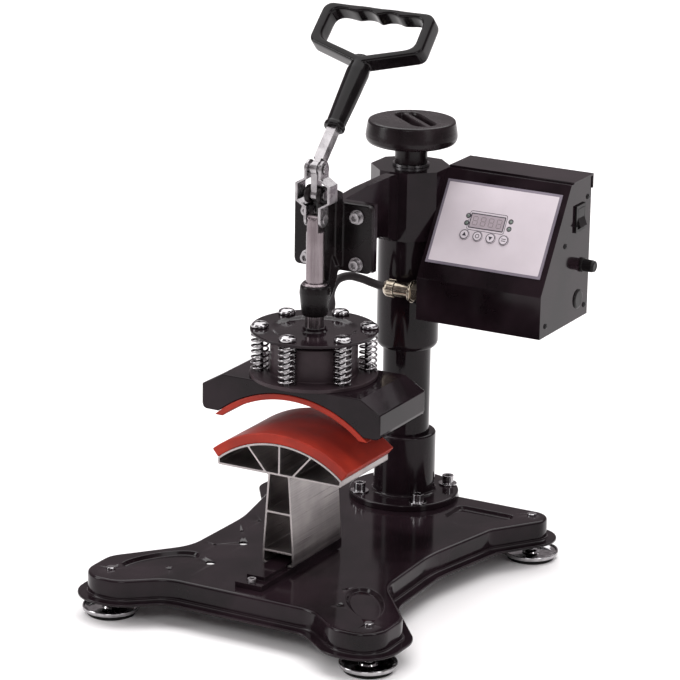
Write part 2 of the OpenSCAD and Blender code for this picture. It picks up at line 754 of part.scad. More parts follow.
// Welded arm: sleeve, octagonal hub, web and front plate
module swing_arm() {
    web_low = arm_z + 15;
    arch_y = -hub_flats / 2 - 42;
    color("#18181a") placed() difference() {
        union() {
            translate([0, 0, arm_z - sleeve_len]) rotate_extrude($fn = 128) polygon([
                [0, 0], [sleeve_r - 7, 0], [sleeve_r - 3.2, 1.1], [sleeve_r - 0.8, 4], [sleeve_r, 7.5],
                [sleeve_r, sleeve_len + 2], [0, sleeve_len + 2]
            ]);
            translate([0, 0, arm_z]) rotate([0, 0, 22.5])
                cylinder(d = hub_flats / cos(22.5), h = hub_h, $fn = 8);
            drawn_x([
                [-hub_flats / 2 + 1, arm_z], [-hub_flats / 2 - 8, arm_z + 2], [-hub_flats / 2 - 22, web_low - 5],
                [arch_y, web_low], [arch_y - 22, web_low - 3], [front_plate_y + 10, arm_z + 4],
                [front_plate_y - 1, arm_z + 1], [front_plate_y - 1, hub_top - 2.5],
                [front_plate_y + 40, hub_top], [-hub_flats / 2 - 14, hub_top], [-hub_flats / 2 + 1, hub_top - 1.5]
            ], -web_t / 2, web_t / 2);
            translate([-clamp_plate_w / 2 + 1.5, clamp_back_y, arm_z + 1])
                cube([clamp_plate_w - 3, front_plate_t, hub_h - 3.5]);
        }
        translate([0, 0, arm_z - sleeve_len - 1]) disc(column_r + run_gap, column_top + 3 - arm_z + sleeve_len);
        translate([0, 0, arm_z]) disc(screw_r + run_gap, hub_h + 1);
        for (p = clamp_bolt_places) translate([p[0], clamp_back_y - 1, p[1]]) rotate([-90, 0, 0])
            disc(clamp_screw_r, front_plate_t + 2);
        translate(arm_screw_at) rotate([-90, 0, 0]) disc(arm_screw_r, hub_flats / 2 - column_r - 4);
    }
}

clamp_screw_r = 4;
arm_screw_r = 3;
arm_screw_at = [-11, -hub_flats / 2 - 0.5, arm_z + 5];

module arm_set_screw() {
    color("#9a9da1") placed() translate(arm_screw_at - [0, 1.5, 0]) rotate([-90, 0, 0]) difference() {
        disc(arm_screw_r - run_gap, 10);
        translate([0, 0, -1]) hex(3, 3);
    }
}

// Cast clamp body: bolted plate, upright boss, ears for the fulcrum and the rod's guide barrel
module clamp_body() {
    half_w = clamp_plate_w / 2;
    boss_y = clamp_front_y - boss_t;
    ear_floor = fulcrum_z - ear_r;
    plate = [
        [-half_w, arm_z + 0.6, 6], [half_w, arm_z + 0.6, 6], [half_w, hub_top - 2.4, 6], [-half_w, hub_top - 2.4, 6]
    ];
    color("#1a1a1c") placed() difference() {
        union() {
            drawn_y(rounded(plate, 5), clamp_front_y, clamp_back_y);
            drawn_x([
                [clamp_front_y + 1, arm_z + 4], [clamp_front_y + 1, hub_top + 9], [boss_y + 5, hub_top + 14],
                [boss_y, hub_top + 10], [boss_y, arm_z + 20], [boss_y + 8, arm_z + 8]
            ], -boss_half, boss_half);
            drawn_x([
                [clamp_front_y + 1, arm_z + 2], [boss_y, arm_z + 24], [press_y + rod_r + 5.4, barrel_top - 1],
                [press_y + rod_r + 2, barrel_low + 5], [boss_y + 8, arm_z - 17]
            ], -8, 8);
            for (m = [0, 1]) mirror([m, 0, 0]) {
                drawn_x([
                    [boss_y + 6, ear_floor], [boss_y + 6, hub_top + 13], [press_y, fulcrum_z + ear_r],
                    [press_y, ear_floor]
                ], ear_in, ear_out);
                translate([(ear_in + ear_out) / 2, press_y, fulcrum_z]) cross_rod(ear_r, ear_out - ear_in);
            }
            translate([0, press_y, barrel_low]) rotate_extrude($fn = 96) polygon([
                [0, 0], [rod_r + 2.6, 0], [rod_r + 3.8, 1.2], [rod_r + 5.4, barrel_h * 0.4],
                [rod_r + 6.6, barrel_h * 0.74], [rod_r + 6, barrel_h * 0.93], [rod_r + 5, barrel_h], [0, barrel_h]
            ]);
        }
        translate([0, press_y, barrel_low - 1]) disc(rod_r + run_gap, fulcrum_z - ear_r - barrel_low - 1);
        translate([0, press_y, fulcrum_z]) cross_rod(fulcrum_r, 60);
        translate([-ear_in, press_y - 20, fulcrum_z - ear_r - 9]) cube([2 * ear_in, 34, 60]);
        for (p = clamp_bolt_places) translate([p[0], clamp_front_y - 1, p[1]]) rotate([-90, 0, 0])
            disc(clamp_screw_r, clamp_plate_t + 2);
        link_sweep();
    }
}

// Room behind the ears for the lower ends of the links
module link_sweep() {
    for (m = [0, 1]) mirror([m, 0, 0])
        translate([ear_out + 0.5, press_y - 14, link_low_z - 20]) cube([12, 28, link_len + 20]);
}

module clamp_bolts() {
    color("silver") placed() for (p = clamp_bolt_places) translate([p[0], clamp_front_y, p[1]]) rotate([90, 0, 0])
        socket_screw(5.6, 6, clamp_screw_r - run_gap, clamp_plate_t + front_plate_t, 8, 1.6);
}

// Plated bush in the mouth of the guide barrel
module guide_bush() {
    color("silver") placed() translate([0, press_y, barrel_top]) rotate_extrude($fn = 96) polygon([
        [rod_r + run_gap, 0], [rod_r + 4.2, 0], [rod_r + 4.2, 0.8], [rod_r + 2.4, 2.4], [rod_r + run_gap, 2.4]
    ]);
}

module fulcrum_pin() {
    head_t = 1.8;
    color("silver") placed() translate([0, press_y, fulcrum_z]) {
        cross_rod(fulcrum_r - run_gap, 2 * ear_out + 2);
        for (s = [-1, 1]) translate([s * (ear_out + head_t / 2), 0, 0]) cross_rod(fulcrum_r + 1.5, head_t);
    }
}

// Plated plunger rod with a flat tang at its top
module plunger_rod() {
    tang_low = link_low_z - 14;
    color("#c4c6c8") placed() translate([0, press_y, 0]) {
        translate([0, 0, rod_low]) disc(rod_r, tang_low - rod_low);
        intersection() {
            translate([0, 0, tang_low - eps]) disc(rod_r, 14 + 6 + eps);
            translate([-tang_half, -rod_r, tang_low - 1]) cube([2 * tang_half, 2 * rod_r, 30]);
            union() {
                translate([0, 0, link_low_z - 4]) cross_rod(rod_r, 40);
                translate([-20, -rod_r, tang_low - 1]) cube([40, 2 * rod_r, 11]);
            }
        }
    }
}

// Bent side profile of the right-hand link: tang, bow round the ears, lower eye
function link_profile() = [
    [link_in, link_low_z - 12], [link_out, link_low_z - 12], [link_out, link_low_z + 12.6],
    [bow_in + link_t, link_low_z + 19], [bow_in + link_t, link_top_z - 16], [link_out, link_top_z - 9.4],
    [link_out, link_top_z + 12], [link_in, link_top_z + 12], [link_in, link_top_z - 10.4],
    [bow_in, link_top_z - 17], [bow_in, link_low_z + 20], [link_in, link_low_z + 13.8]
];

module link_plates() {
    color("#cfd1d3") placed() for (m = [0, 1]) mirror([m, 0, 0]) difference() {
        intersection() {
            drawn_y(link_profile(), press_y - 20, press_y + 20);
            union() {
                for (z = [link_top_z, link_low_z]) translate([0, press_y, z]) cross_rod(link_half_w, 60);
                translate([-30, press_y - link_half_w, link_low_z]) cube([60, 2 * link_half_w, link_len]);
            }
        }
        translate([0, press_y, link_top_z]) cross_rod(pin_r + run_gap, 60);
        translate([0, press_y, link_low_z]) cross_rod(pin_r, 60);
    }
}

// Rivets at the lower eyes, ending at the rod's flats
module link_rivets() {
    color("silver") placed() for (s = [-1, 1]) translate([0, press_y, link_low_z]) {
        translate([s * (link_in + link_t / 2), 0, 0]) cross_rod(pin_r, link_t);
        translate([s * (link_out + 1.1), 0, 0]) cross_rod(pin_r + 2.2, 2.2);
    }
}

// Pin through the lever and both links, with spacers beside the blade
module link_pin() {
    spacer = link_in - 0.1 - blade_t / 2 - 0.1;
    color("silver") placed() translate([0, press_y, link_top_z]) {
        cross_rod(pin_r, 2 * link_out + 1);
        for (s = [-1, 1]) {
            translate([s * (link_in - 0.1 - spacer / 2), 0, 0]) cross_rod(pin_r + 2.6, spacer);
            translate([s * (link_out + 0.2 + 1.1), 0, 0]) cross_rod(pin_r + 2.4, 2.2);
        }
    }
}

// Puts the lever's own frame at the link pin, leaning back
module lever_frame() {
    translate([0, press_y, link_top_z]) rotate([90 - lever_lean, 0, 0]) children();
}

// Lever: an upright blade on the fulcrum and a square bar that leans back
module toggle_lever() {
    eye_r = 6.5;
    color("#d2d4d5") placed() difference() {
        union() {
            translate([0, press_y, fulcrum_z]) cross_rod(eye_r, blade_t);
            translate([-blade_t / 2, press_y - bar_w / 2, fulcrum_z]) cube([blade_t, bar_w, crank]);
            translate([0, press_y, link_top_z]) cross_rod(bar_w / 2 + 2, blade_t);
            lever_frame() {
                translate([-blade_t / 2, 0, -bar_w / 2]) cube([blade_t, 14, bar_w]);
                translate([-bar_w / 2, 9.5, -bar_w / 2]) cube([bar_w, 90, bar_w]);
            }
        }
        translate([0, press_y, fulcrum_z]) cross_rod(fulcrum_r, 40);
        translate([0, press_y, link_top_z]) cross_rod(pin_r + run_gap, 40);
    }
}

// Moulded grip: a six-sided loop with finger scallops on a tapered stem
module handle_grip() {
    half = grip_w / 2;
    outer = [
        [0, grip_neck, 12], [half, grip_shoulder, 9], [half - 1, grip_top, 10],
        [-half + 1, grip_top, 10], [-half, grip_shoulder, 9]
    ];
    edge = [[3.2, 0], [1, 0.9], [0, 3.2]];
    low = [for (e = edge) at_z(rounded(grown(outer, -e[0]), 5), e[1] - grip_t / 2)];
    high = [for (i = [2:-1:0]) at_z(rounded(grown(outer, -edge[i][0]), 5), grip_t / 2 - edge[i][1])];
    color("#151517") placed() lever_frame() difference() {
        union() {
            skin(concat(low, high));
            translate([0, stem_start, 0]) rotate([-90, 0, 0])
                cylinder(r1 = stem_r1, r2 = stem_r2, h = stem_end - stem_start, $fn = round_fn);
            translate([0, stem_end - eps, 0]) rotate([-90, 0, 0])
                cylinder(r1 = stem_r2, r2 = grip_t / 2 - 1.2, h = 14, $fn = round_fn);
        }
        finger_hole();
        translate([-bar_w / 2 - run_gap, stem_start - 1, -bar_w / 2 - run_gap])
            cube([bar_w + 2 * run_gap, 51, bar_w + 2 * run_gap]);
    }
}

// Finger opening: four scallops over a five-sided lower half
module finger_hole() {
    side = grip_w / 2 - grip_rim;
    bed = grip_top - 28.5;
    translate([0, 0, -grip_t]) {
        linear_extrude(2 * grip_t) polygon([
            [0, grip_neck + 9.5], [side, grip_shoulder + 5.5], [side - 1, bed + 0.1],
            [-side + 1, bed + 0.1], [-side, grip_shoulder + 5.5]
        ]);
        intersection() {
            union() for (i = [-1.5:1:1.5]) translate([i * finger_pitch, bed, 0])
                cylinder(r = finger_r, h = 2 * grip_t, $fn = round_fn);
            translate([-side + 1, bed, 0]) cube([2 * side - 2, finger_r + 1, 2 * grip_t]);
        }
    }
}

// Spring plate: flat rim, shallow dish and the rod's collar
module spring_plate() {
    z = plate_top - plate_t;
    dish = 3;
    color("#1b1b1d") placed() translate([0, press_y, 0]) difference() {
        rotate_extrude($fn = 128) polygon([
            [rod_r, z - dish], [drum_r - 9, z - dish], [drum_r - 1, z], [plate_r - 0.8, z],
            [plate_r, z + 0.8], [plate_r, plate_top - 0.8], [plate_r - 0.8, plate_top], [drum_r + 1, plate_top],
            [drum_r - 7, plate_top - dish], [rod_r + 4.4, plate_top - dish], [rod_r + 2.6, plate_top - dish + 1.4],
            [rod_r + 2.6, plate_top + 1.2], [rod_r + 1.8, plate_top + 2], [rod_r, plate_top + 2]
        ]);
        for (p = bolt_places) translate([p[0], p[1], z - 1]) disc(bolt_r + 0.6, plate_t + 2);
        translate([drum_r - 8, 0, z - dish - 1]) disc(4.5, plate_t + dish + 2);
        translate([-20, -38, z - dish - 1]) disc(2.5, plate_t + dish + 2);
    }
}

// Round-headed bolts on which the head hangs below the spring plate
module spring_bolts() {
    head_r = 9.4;
    color("silver") placed() for (p = bolt_places) translate([p[0], press_y + p[1], 0]) {
        translate([0, 0, housing_top]) disc(bolt_r - run_gap, plate_top - housing_top);
        translate([0, 0, plate_top]) difference() {
            rotate_extrude($fn = 48) polygon([
                [0, 0], [head_r - 0.6, 0], [head_r, 1], [head_r, 2.8], [head_r - 1, 4.4], [head_r - 3, 5.6],
                [head_r - 5.4, 6.2], [0, 6.3]
            ]);
            translate([0, 0, 4]) hex(5, 4);
        }
    }
}

spring_low = spring_z + slide_gap + wire_r;
spring_pitch = (spring_h - 2 * slide_gap - 2 * wire_r) / spring_turns;
function coil_point(a) = [spring_r * cos(a), spring_r * sin(a), spring_low + spring_pitch * a / 360];
function coil_dir(a) = unit([-spring_r * sin(a), spring_r * cos(a), spring_pitch / (2 * 180 / PI * PI / 180) / PI]);
function coil_ring(a) =
    let (d = coil_dir(a), out = [cos(a), sin(a), 0], up = cross(d, out))
    [for (k = [0:5]) coil_point(a) + wire_r * (out * cos(60 * k) - up * sin(60 * k))];

// Six open coil springs, each one unbroken wire with eight rings to a turn
module head_springs() {
    color("silver") placed() for (p = bolt_places) translate([p[0], press_y + p[1], 0])
        skin([for (i = [0:8 * spring_turns]) coil_ring(45 * i)]);
}

turn_gap = min([for (i = [0:8 * spring_turns - 8], j = [i + 6:min(i + 10, 8 * spring_turns)])
    norm(coil_point(45 * i) - coil_point(45 * j))]) - 2 * wire_r;
echo("least gap between a spring's turns", turn_gap);

// Round plate screwed to the housing, with the open drum on it
module head_drum() {
    drum_h = spring_h - 8;
    drum_wall = 3;
    color("#1a1a1c") placed() translate([0, press_y, housing_top]) difference() {
        rotate_extrude($fn = 128) polygon([
            [0, 0], [plate_r, 0], [plate_r, drum_plate_t], [drum_r + 1.2, drum_plate_t],
            [drum_r, drum_plate_t + 1.2], [drum_r, drum_plate_t + drum_h - 1],
            [drum_r - 1, drum_plate_t + drum_h], [drum_r - drum_wall, drum_plate_t + drum_h],
            [drum_r - drum_wall, drum_plate_t], [0, drum_plate_t]
        ]);
        for (p = bolt_places) translate([p[0], p[1], -1]) disc(bolt_r, drum_plate_t + 2);
    }
}

// Front view of the housing, with its arch and the notches beside it
function housing_outline(d) =
    let (w = housing_half_w - d, top = housing_top - d, chamfer = 24, r = upper_out_r + d + 0.2)
    let (low = housing_low, arch_end = acos((low - upper_centre_z) / r))
    let (right = concat(
        [for (i = [0:10]) [r * sin(arch_end * i / 10), upper_centre_z + r * cos(arch_end * i / 10)]],
        [[w - 5, low], [w - 1.4, low + 1.8], [w, low + 6]],
        [[w, top - 14], [w - chamfer, top]]
    ))
    concat([for (i = [len(right) - 1:-1:1]) [-right[i][0], right[i][1]]], right);

// Folded steel cover over the heating platen, open below
module head_housing() {
    inner_top = housing_top - housing_wall;
    inner_w = housing_half_w - housing_wall;
    color("#18181a") placed() difference() {
        drawn_y(housing_outline(0), housing_front, housing_back);
        drawn_y([
            [-inner_w, housing_low - 1], [inner_w, housing_low - 1], [inner_w, inner_top - 14],
            [inner_w - 24, inner_top], [-inner_w + 24, inner_top], [-inner_w, inner_top - 14]
        ], housing_front + housing_wall, housing_back - housing_wall);
    }
}

// Cast aluminium heating platen, shaped to the arch
module upper_platen() {
    half = 86;
    inset = housing_wall + 0.5;
    color("#b9bbbd") placed() difference() {
        drawn_y([
            [-half, housing_low + 1], [half, housing_low + 1], [half, housing_top - 12], [half - 8, housing_top - 4],
            [-half + 8, housing_top - 4], [-half, housing_top - 12]
        ], housing_front + inset, housing_back - inset);
        translate([0, 0, upper_centre_z]) long_rod(upper_out_r, housing_front, housing_back);
    }
}

module upper_pad() {
    color("#b8402e") placed() difference() {
        intersection() {
            translate([0, 0, upper_centre_z]) long_rod(upper_out_r, housing_front, housing_back);
            translate([-200, housing_front - 1, head_low_z]) cube([400, housing_depth + 2, 100]);
        }
        translate([0, 0, upper_centre_z]) long_rod(upper_in_r, housing_front - 1, housing_back + 1);
    }
}

// Side view of the control box, moved inwards by d
function box_outline(d) =
    let (k = d * tan((90 - slope_turn) / 2), j = d * tan(slope_turn / 2))
    [
        [box_y0 + d, box_z0 + d], [box_y1 - d, box_z0 + d], [box_y1 - d, box_z1 - d],
        [box_y0 + slope_y + j, box_z1 - d], [box_y0 + d, box_z0 + box_front_h + k]
    ];

// Puts the sloping panel's frame in place: X across, Y up the slope, Z out of the face
module panel_frame() {
    translate([box_x0, box_y0, box_z0 + box_front_h]) rotate([slope_turn, 0, 0]) children();
}

// Folded steel case: front, slope, floor and both sides
module control_case() {
    w = box_wall;
    color("#17171a") placed() difference() {
        drawn_x(box_outline(0), box_x0, box_x1);
        drawn_x(box_outline(w), box_x0 + w, box_x1 - w);
        translate([box_x0 + w, box_y1 - 3 * w, box_z0 + w]) cube([box_w - 2 * w, 4 * w, box_h]);
        translate([box_x0 + w, box_y0 + slope_y + 3, box_z1 - 2 * w])
            cube([box_w - 2 * w, box_top_d, 3 * w]);
        side_hole(rocker_at) cube([20, rocker_size[0] - 3, rocker_size[1] - 3], center = true);
        side_hole(fuse_at) cross_rod(fuse_r - 2, 20);
        side_hole(plug_at) cross_rod(plug_r - 2, 20);
        translate([box_x0, gland_y, gland_z]) cross_rod(gland_r - 3, 20);
        panel_frame() {
            for (i = [0:3]) translate([button_at[0] + i * button_pitch, button_at[1], -5])
                disc(button_r - 1, 10);
            translate([display_at[0] - display_size[0] / 2 + 2, display_at[1] - display_size[1] / 2 + 2, -5])
                cube([display_size[0] - 4, display_size[1] - 4, 10]);
        }
    }
}

module side_hole(p) {
    translate([box_x1, p[0], p[1]]) children();
}

// Top and back of the case in one folded sheet, with a small lip over the sides
module case_lid() {
    w = box_wall;
    g = 0.2;
    lip = 1.2;
    color("#17171a") placed() difference() {
        union() {
            translate([box_x0 + w + g, box_y1 - w, box_z0 + w + g]) cube([box_w - 2 * w - 2 * g, w, box_h - w - g]);
            translate([box_x0 + w + g, box_y0 + slope_y + 3 + g, box_z1 - w])
                cube([box_w - 2 * w - 2 * g, box_top_d - 3 - g, w]);
            translate([box_x0, box_y1 + g, box_z1 - 14]) cube([box_w + lip, w, 14 + g + w]);
            translate([box_x0, box_y0 + slope_y + 4, box_z1 + g]) cube([box_w + lip, box_top_d - 4 + w + g, w]);
            translate([box_x0 + 8, box_y0 + slope_y + 12, box_z1 - eps]) cube([box_w - 16, 12, g + 2 * eps]);
            translate([box_x0 + 8, box_y1 - eps, box_z1 - 12]) cube([box_w - 16, g + 2 * eps, 8]);
        }
        translate([mains_at[0], box_y1 + 5, mains_at[1]]) rotate([90, 0, 0]) disc(7, 10);
    }
}

module control_panel() {
    color("#f2f2f2") placed() panel_frame() difference() {
        translate([panel_u, panel_v, 0]) cube([panel_w, panel_h, panel_t]);
        for (i = [0:3]) translate([button_at[0] + i * button_pitch, button_at[1], -1])
            disc(button_r + slide_gap, panel_t + 2);
        for (p = lamp_places) translate([p[0], p[1], -1]) disc(lamp_r, panel_t + 2);
        translate([display_at[0] - display_size[0] / 2, display_at[1] - display_size[1] / 2, -1])
            cube([display_size[0], display_size[1], panel_t + 2]);
    }
}

module display_window() {
    g = 0.1;
    color("#9aa19b") placed() panel_frame()
        translate([display_at[0] - display_size[0] / 2 + g, display_at[1] - display_size[1] / 2 + g, 0])
            cube([display_size[0] - 2 * g, display_size[1] - 2 * g, panel_t + 0.3]);
}

module indicator_lamps() {
    color("#c9403a") placed() panel_frame() for (p = lamp_places) translate([p[0], p[1], 0]) {
        disc(lamp_r - run_gap, panel_t);
        translate([0, 0, panel_t - 0.4]) intersection() {
            disc(lamp_r - run_gap, 3);
            translate([0, 0, -1.2]) sphere(r = 2.4, $fn = 48);
        }
    }
}

// A round push button, standing proud of the panel
module button(i) {
    cap_h = panel_t + 1.6;
    color("#8d9095") placed() panel_frame()
        translate([button_at[0] + i * button_pitch, button_at[1], 0]) {
            translate([0, 0, button_travel + 0.2]) disc(button_r, cap_h - button_travel - 0.2);
            translate([0, 0, -3.5]) disc(button_r - 1.2, 4.8);
        }
}

// Frame of the rocker switch, with its body inside the case
module rocker_bezel() {
    y = rocker_size[0];
    z = rocker_size[1];
    color("#141416") placed() side_hole(rocker_at) difference() {
        union() {
            translate([0, -y / 2, -z / 2]) cube([2.4, y, z]);
            translate([-16, -y / 2 + 1.8, -z / 2 + 1.8]) cube([17, y - 3.6, z - 3.6]);
        }
        translate([-10, -y / 2 + 3.4, -z / 2 + 3.4]) cube([14, y - 6.8, z - 6.8]);
        translate([rocker_pin_x, 0, 0]) long_rod(rocker_pin_r, -y / 2 + 2, y / 2 - 2);
    }
}

rocker_pin_x = -2;
rocker_pin_r = 2;

// Rocker, rolling on the pins of its sides inside its frame
module rocker_switch() {
    y = rocker_size[0] / 2 - 3.4 - slide_gap;
    z = rocker_size[1] / 2 - 4.7;
    tilt = 10;
    color("#1b1b1e") placed() side_hole(rocker_at) translate([rocker_pin_x, 0, 0]) {
        rotate([0, -tilt, 0]) rotate([90, 0, 0]) translate([0, 0, -y]) linear_extrude(2 * y) polygon([
            [-3, -z * 0.55], [4.6, -z], [6.4, -z], [4.4, 0], [6.4, z], [4.6, z], [-3, z * 0.55]
        ]);
        long_rod(rocker_pin_r - run_gap, -y - 1.2, y + 1.2);
    }
}

module fuse_holder() {
    color("#141416") placed() side_hole(fuse_at) difference() {
        union() {
            rotate([0, 90, 0]) disc(fuse_r, 3);
            translate([-24, 0, 0]) rotate([0, 90, 0]) disc(fuse_r - 2 - run_gap, 26);
        }
        translate([-20, 0, 0]) rotate([0, 90, 0]) disc(4, 30);
    }
}

// Turned cap with a grip slot, seated in the fuse holder
module fuse_cap() {
    color("#17171a") placed() side_hole(fuse_at) difference() {
        union() {
            translate([3 + slide_gap, 0, 0]) rotate([0, 90, 0]) rotate_extrude($fn = 64) polygon([
                [0, 0], [fuse_r - 1, 0], [fuse_r - 1, 9], [fuse_r - 2, 12.6], [fuse_r - 3, 13.2], [0, 13.2]
            ]);
            translate([-6, 0, 0]) rotate([0, 90, 0]) disc(4 - run_gap, 10);
        }
        translate([14, -0.8, -fuse_r]) cube([6, 1.6, 2 * fuse_r]);
    }
}

module blanking_plug() {
    color("#141416") placed() side_hole(plug_at) {
        rotate([0, 90, 0]) rotate_extrude($fn = 64) polygon([
            [0, 0], [plug_r, 0], [plug_r - 0.4, 1.2], [plug_r - 2.6, 2], [0, 2]
        ]);
        translate([-5, 0, 0]) rotate([0, 90, 0]) disc(plug_r - 2 - run_gap, 5.5);
    }
}

module case_screws() {
    places = [[box_y0 + 58, box_z0 + 91], [box_y1 - 9, box_z0 + 12], [box_y0 + 14, box_z0 + 12], [box_y1 - 9, box_z1 - 22]];
    color("#232326") placed() for (p = places) side_hole(p) rotate([0, 90, 0]) difference() {
        rotate_extrude($fn = 48) polygon([[0, 0], [3.2, 0], [2.8, 1.1], [1.4, 1.7], [0, 1.8]]);
        translate([-0.4, -2.4, 1.1]) cube([0.8, 4.8, 2]);
    }
}

// Metal gland on the case's left side: locknut, flange and barrel
module lead_gland() {
    flange_x = box_x0 - 9.6;
    color("#b8b09a") placed() translate([0, gland_y, gland_z]) {
        translate([flange_x - eps, 0, 0]) rotate([0, 90, 0]) hex(19, box_x0 - flange_x + eps);
        translate([flange_x - 3.4, 0, 0]) rotate([0, 90, 0]) rotate_extrude($fn = 64) polygon([
            [0, 0], [gland_r + 1.8, 0], [gland_r + 2.8, 1], [gland_r + 2.8, 2.6], [gland_r + 2, 3.4], [0, 3.4]
        ]);
        translate([gland_tip + 14, 0, 0]) rotate([0, 90, 0]) disc(gland_r - 1.3, flange_x - 3 - gland_tip - 14);
    }
}

// Ribbed clamping cap of the gland
module gland_cap() {
    color("#c2baa2") placed() translate([gland_tip, gland_y, gland_z]) rotate([0, 90, 0]) difference() {
        rotate_extrude($fn = 64) polygon([
            [0, 0], [gland_r - 4, 0], [gland_r - 2, 1], [gland_r - 0.6, 3], [gland_r, 5.5], [gland_r, 12.6],
            [gland_r - 0.6, 13.4], [0, 13.4]
        ]);
        for (i = [0:11]) rotate([0, 0, 30 * i]) translate([gland_r + 0.5, 0, 4]) cylinder(r = 1.1, h = 12, $fn = 16);
    }
}

// Gland where a mains cable would enter the back of the case
module mains_gland() {
    color("#161618") placed() translate([mains_at[0], box_y1 + box_wall + 0.2, mains_at[1]]) rotate([-90, 0, 0]) {
        rotate_extrude($fn = 64) polygon([
            [4, 0], [9, 0], [9, 4], [8, 5], [8, 11], [6.4, 14.4], [4, 14.8]
        ]);
        translate([0, 0, -6]) difference() {
            disc(7 - run_gap, 6 + eps);
            translate([0, 0, -1]) disc(4, 9);
        }
    }
}

module heater_lead() {
    route = smooth(lead_route, 3);
    color("#2a2527") placed() skin(tube_rings(route, lead_r, 10, [0, 0, 1]));
}

// Circuit board on four pillars behind the panel
module circuit_board() {
    color("#2c5c3a") placed() panel_frame() {
        translate([20, 30, -17]) cube([110, 72, 1.6]);
        for (x = [26, 124], y = [36, 96]) translate([x, y, -16]) disc(3, 16 - box_wall);
    }
}

base_frame();
platen_rail();
rail_screws();
column_foot();
flange_bolts();
column_tube();
foot_nuts();
foot(foot_places[0]);  // foot_front_left
foot(foot_places[1]);  // foot_front_right
foot(foot_places[2]);  // foot_back_left
foot(foot_places[3]);  // foot_back_right
sole(foot_places[0]);  // sole_front_left
sole(foot_places[1]);  // sole_front_right
sole(foot_places[2]);  // sole_back_left
sole(foot_places[3]);  // sole_back_right
lower_platen();
lower_pad();
thrust_washer();
height_knob();
height_screw();
knob_set_screw();
swing_arm();
arm_set_screw();
clamp_body();
clamp_bolts();
guide_bush();
fulcrum_pin();
control_case();
case_lid();
control_panel();
display_window();
indicator_lamps();
rocker_bezel();
fuse_holder();
blanking_plug();
case_screws();
lead_gland();
gland_cap();
mains_gland();
heater_lead();
circuit_board();
button(0);  // button_1
button(1);  // button_2
button(2);  // button_3
button(3);  // button_4
rocker_switch();
fuse_cap();
toggle_lever();
handle_grip();
link_pin();
link_plates();
link_rivets();
plunger_rod();
spring_plate();
spring_bolts();
head_springs();
head_drum();
head_housing();
upper_platen();
upper_pad();
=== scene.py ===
"""Cap heat press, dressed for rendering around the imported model.

Drawings are in millimetres from the column's axis on the floor, as in the part's source.
X points right, Y back and Z up.
"""
import json
import math
import bmesh
import bpy
import numpy as np
from mathutils import Matrix, Vector
from mathutils.geometry import delaunay_2d_cdt


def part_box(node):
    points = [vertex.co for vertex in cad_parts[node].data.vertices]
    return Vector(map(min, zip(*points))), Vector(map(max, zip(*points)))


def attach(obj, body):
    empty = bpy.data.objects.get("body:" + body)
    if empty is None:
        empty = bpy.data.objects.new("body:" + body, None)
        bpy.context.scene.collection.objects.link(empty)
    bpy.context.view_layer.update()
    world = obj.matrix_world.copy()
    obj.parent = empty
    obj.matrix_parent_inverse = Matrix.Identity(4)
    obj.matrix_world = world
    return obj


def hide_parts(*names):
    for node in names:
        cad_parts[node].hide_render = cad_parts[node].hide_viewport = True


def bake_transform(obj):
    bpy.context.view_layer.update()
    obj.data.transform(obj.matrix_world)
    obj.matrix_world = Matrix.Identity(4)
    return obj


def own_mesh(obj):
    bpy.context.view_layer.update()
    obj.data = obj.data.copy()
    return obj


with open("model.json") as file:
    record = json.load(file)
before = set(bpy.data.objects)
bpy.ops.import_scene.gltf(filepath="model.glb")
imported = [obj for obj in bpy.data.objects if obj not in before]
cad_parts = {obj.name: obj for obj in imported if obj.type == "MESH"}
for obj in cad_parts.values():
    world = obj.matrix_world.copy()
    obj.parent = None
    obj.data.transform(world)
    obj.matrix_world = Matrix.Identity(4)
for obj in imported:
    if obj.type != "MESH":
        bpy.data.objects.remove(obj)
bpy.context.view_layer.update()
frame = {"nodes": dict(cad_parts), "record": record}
NODE_BODY = {n: b for b, ns in frame["record"]["behaviour"]["bodies"].items() for n in ns}

# ---------------------------------------------------------------- sizes in millimetres, as in the source
ORIGIN = np.array([8.5, -168.0, 0.0])
PRESS_Y = -215.0
BASE_TOP, BASE_LIFT = 50.0, 24.0
FEET = {
    "front_left": (-156, -373), "front_right": (156, -373), "back_left": (-156, 11), "back_right": (156, 11)}
CAP_R, ARCH_R, ARCH_Z = 128.7, 117.7, 73.78
PAD_FRONT, PAD_BACK = -288.0, -184.0
PLATE_TOP, PLATE_T, SPRING_LOW = 302.0, 3.5, 254.0
HUB_TOP, KNOB_Z = 434.6, 437.8
LINK_Z, LEAN = 476.0, math.radians(45.5)
BOX_X0, BOX_Y0, BOX_Z0, BOX_W, BOX_FRONT_H = 41.0, -60.0, 278.0, 150.0, 47.5
SLOPE = math.atan2(109.5, 69.5)


def metres(points):
    """Drawing millimetres to the frame's metres: subtract the origin, divide by 1000."""
    return (np.asarray(points, float) - ORIGIN) / 1000


# ---------------------------------------------------------------- surfaces

def unit(v):
    return v / np.linalg.norm(v, axis=-1, keepdims=True)


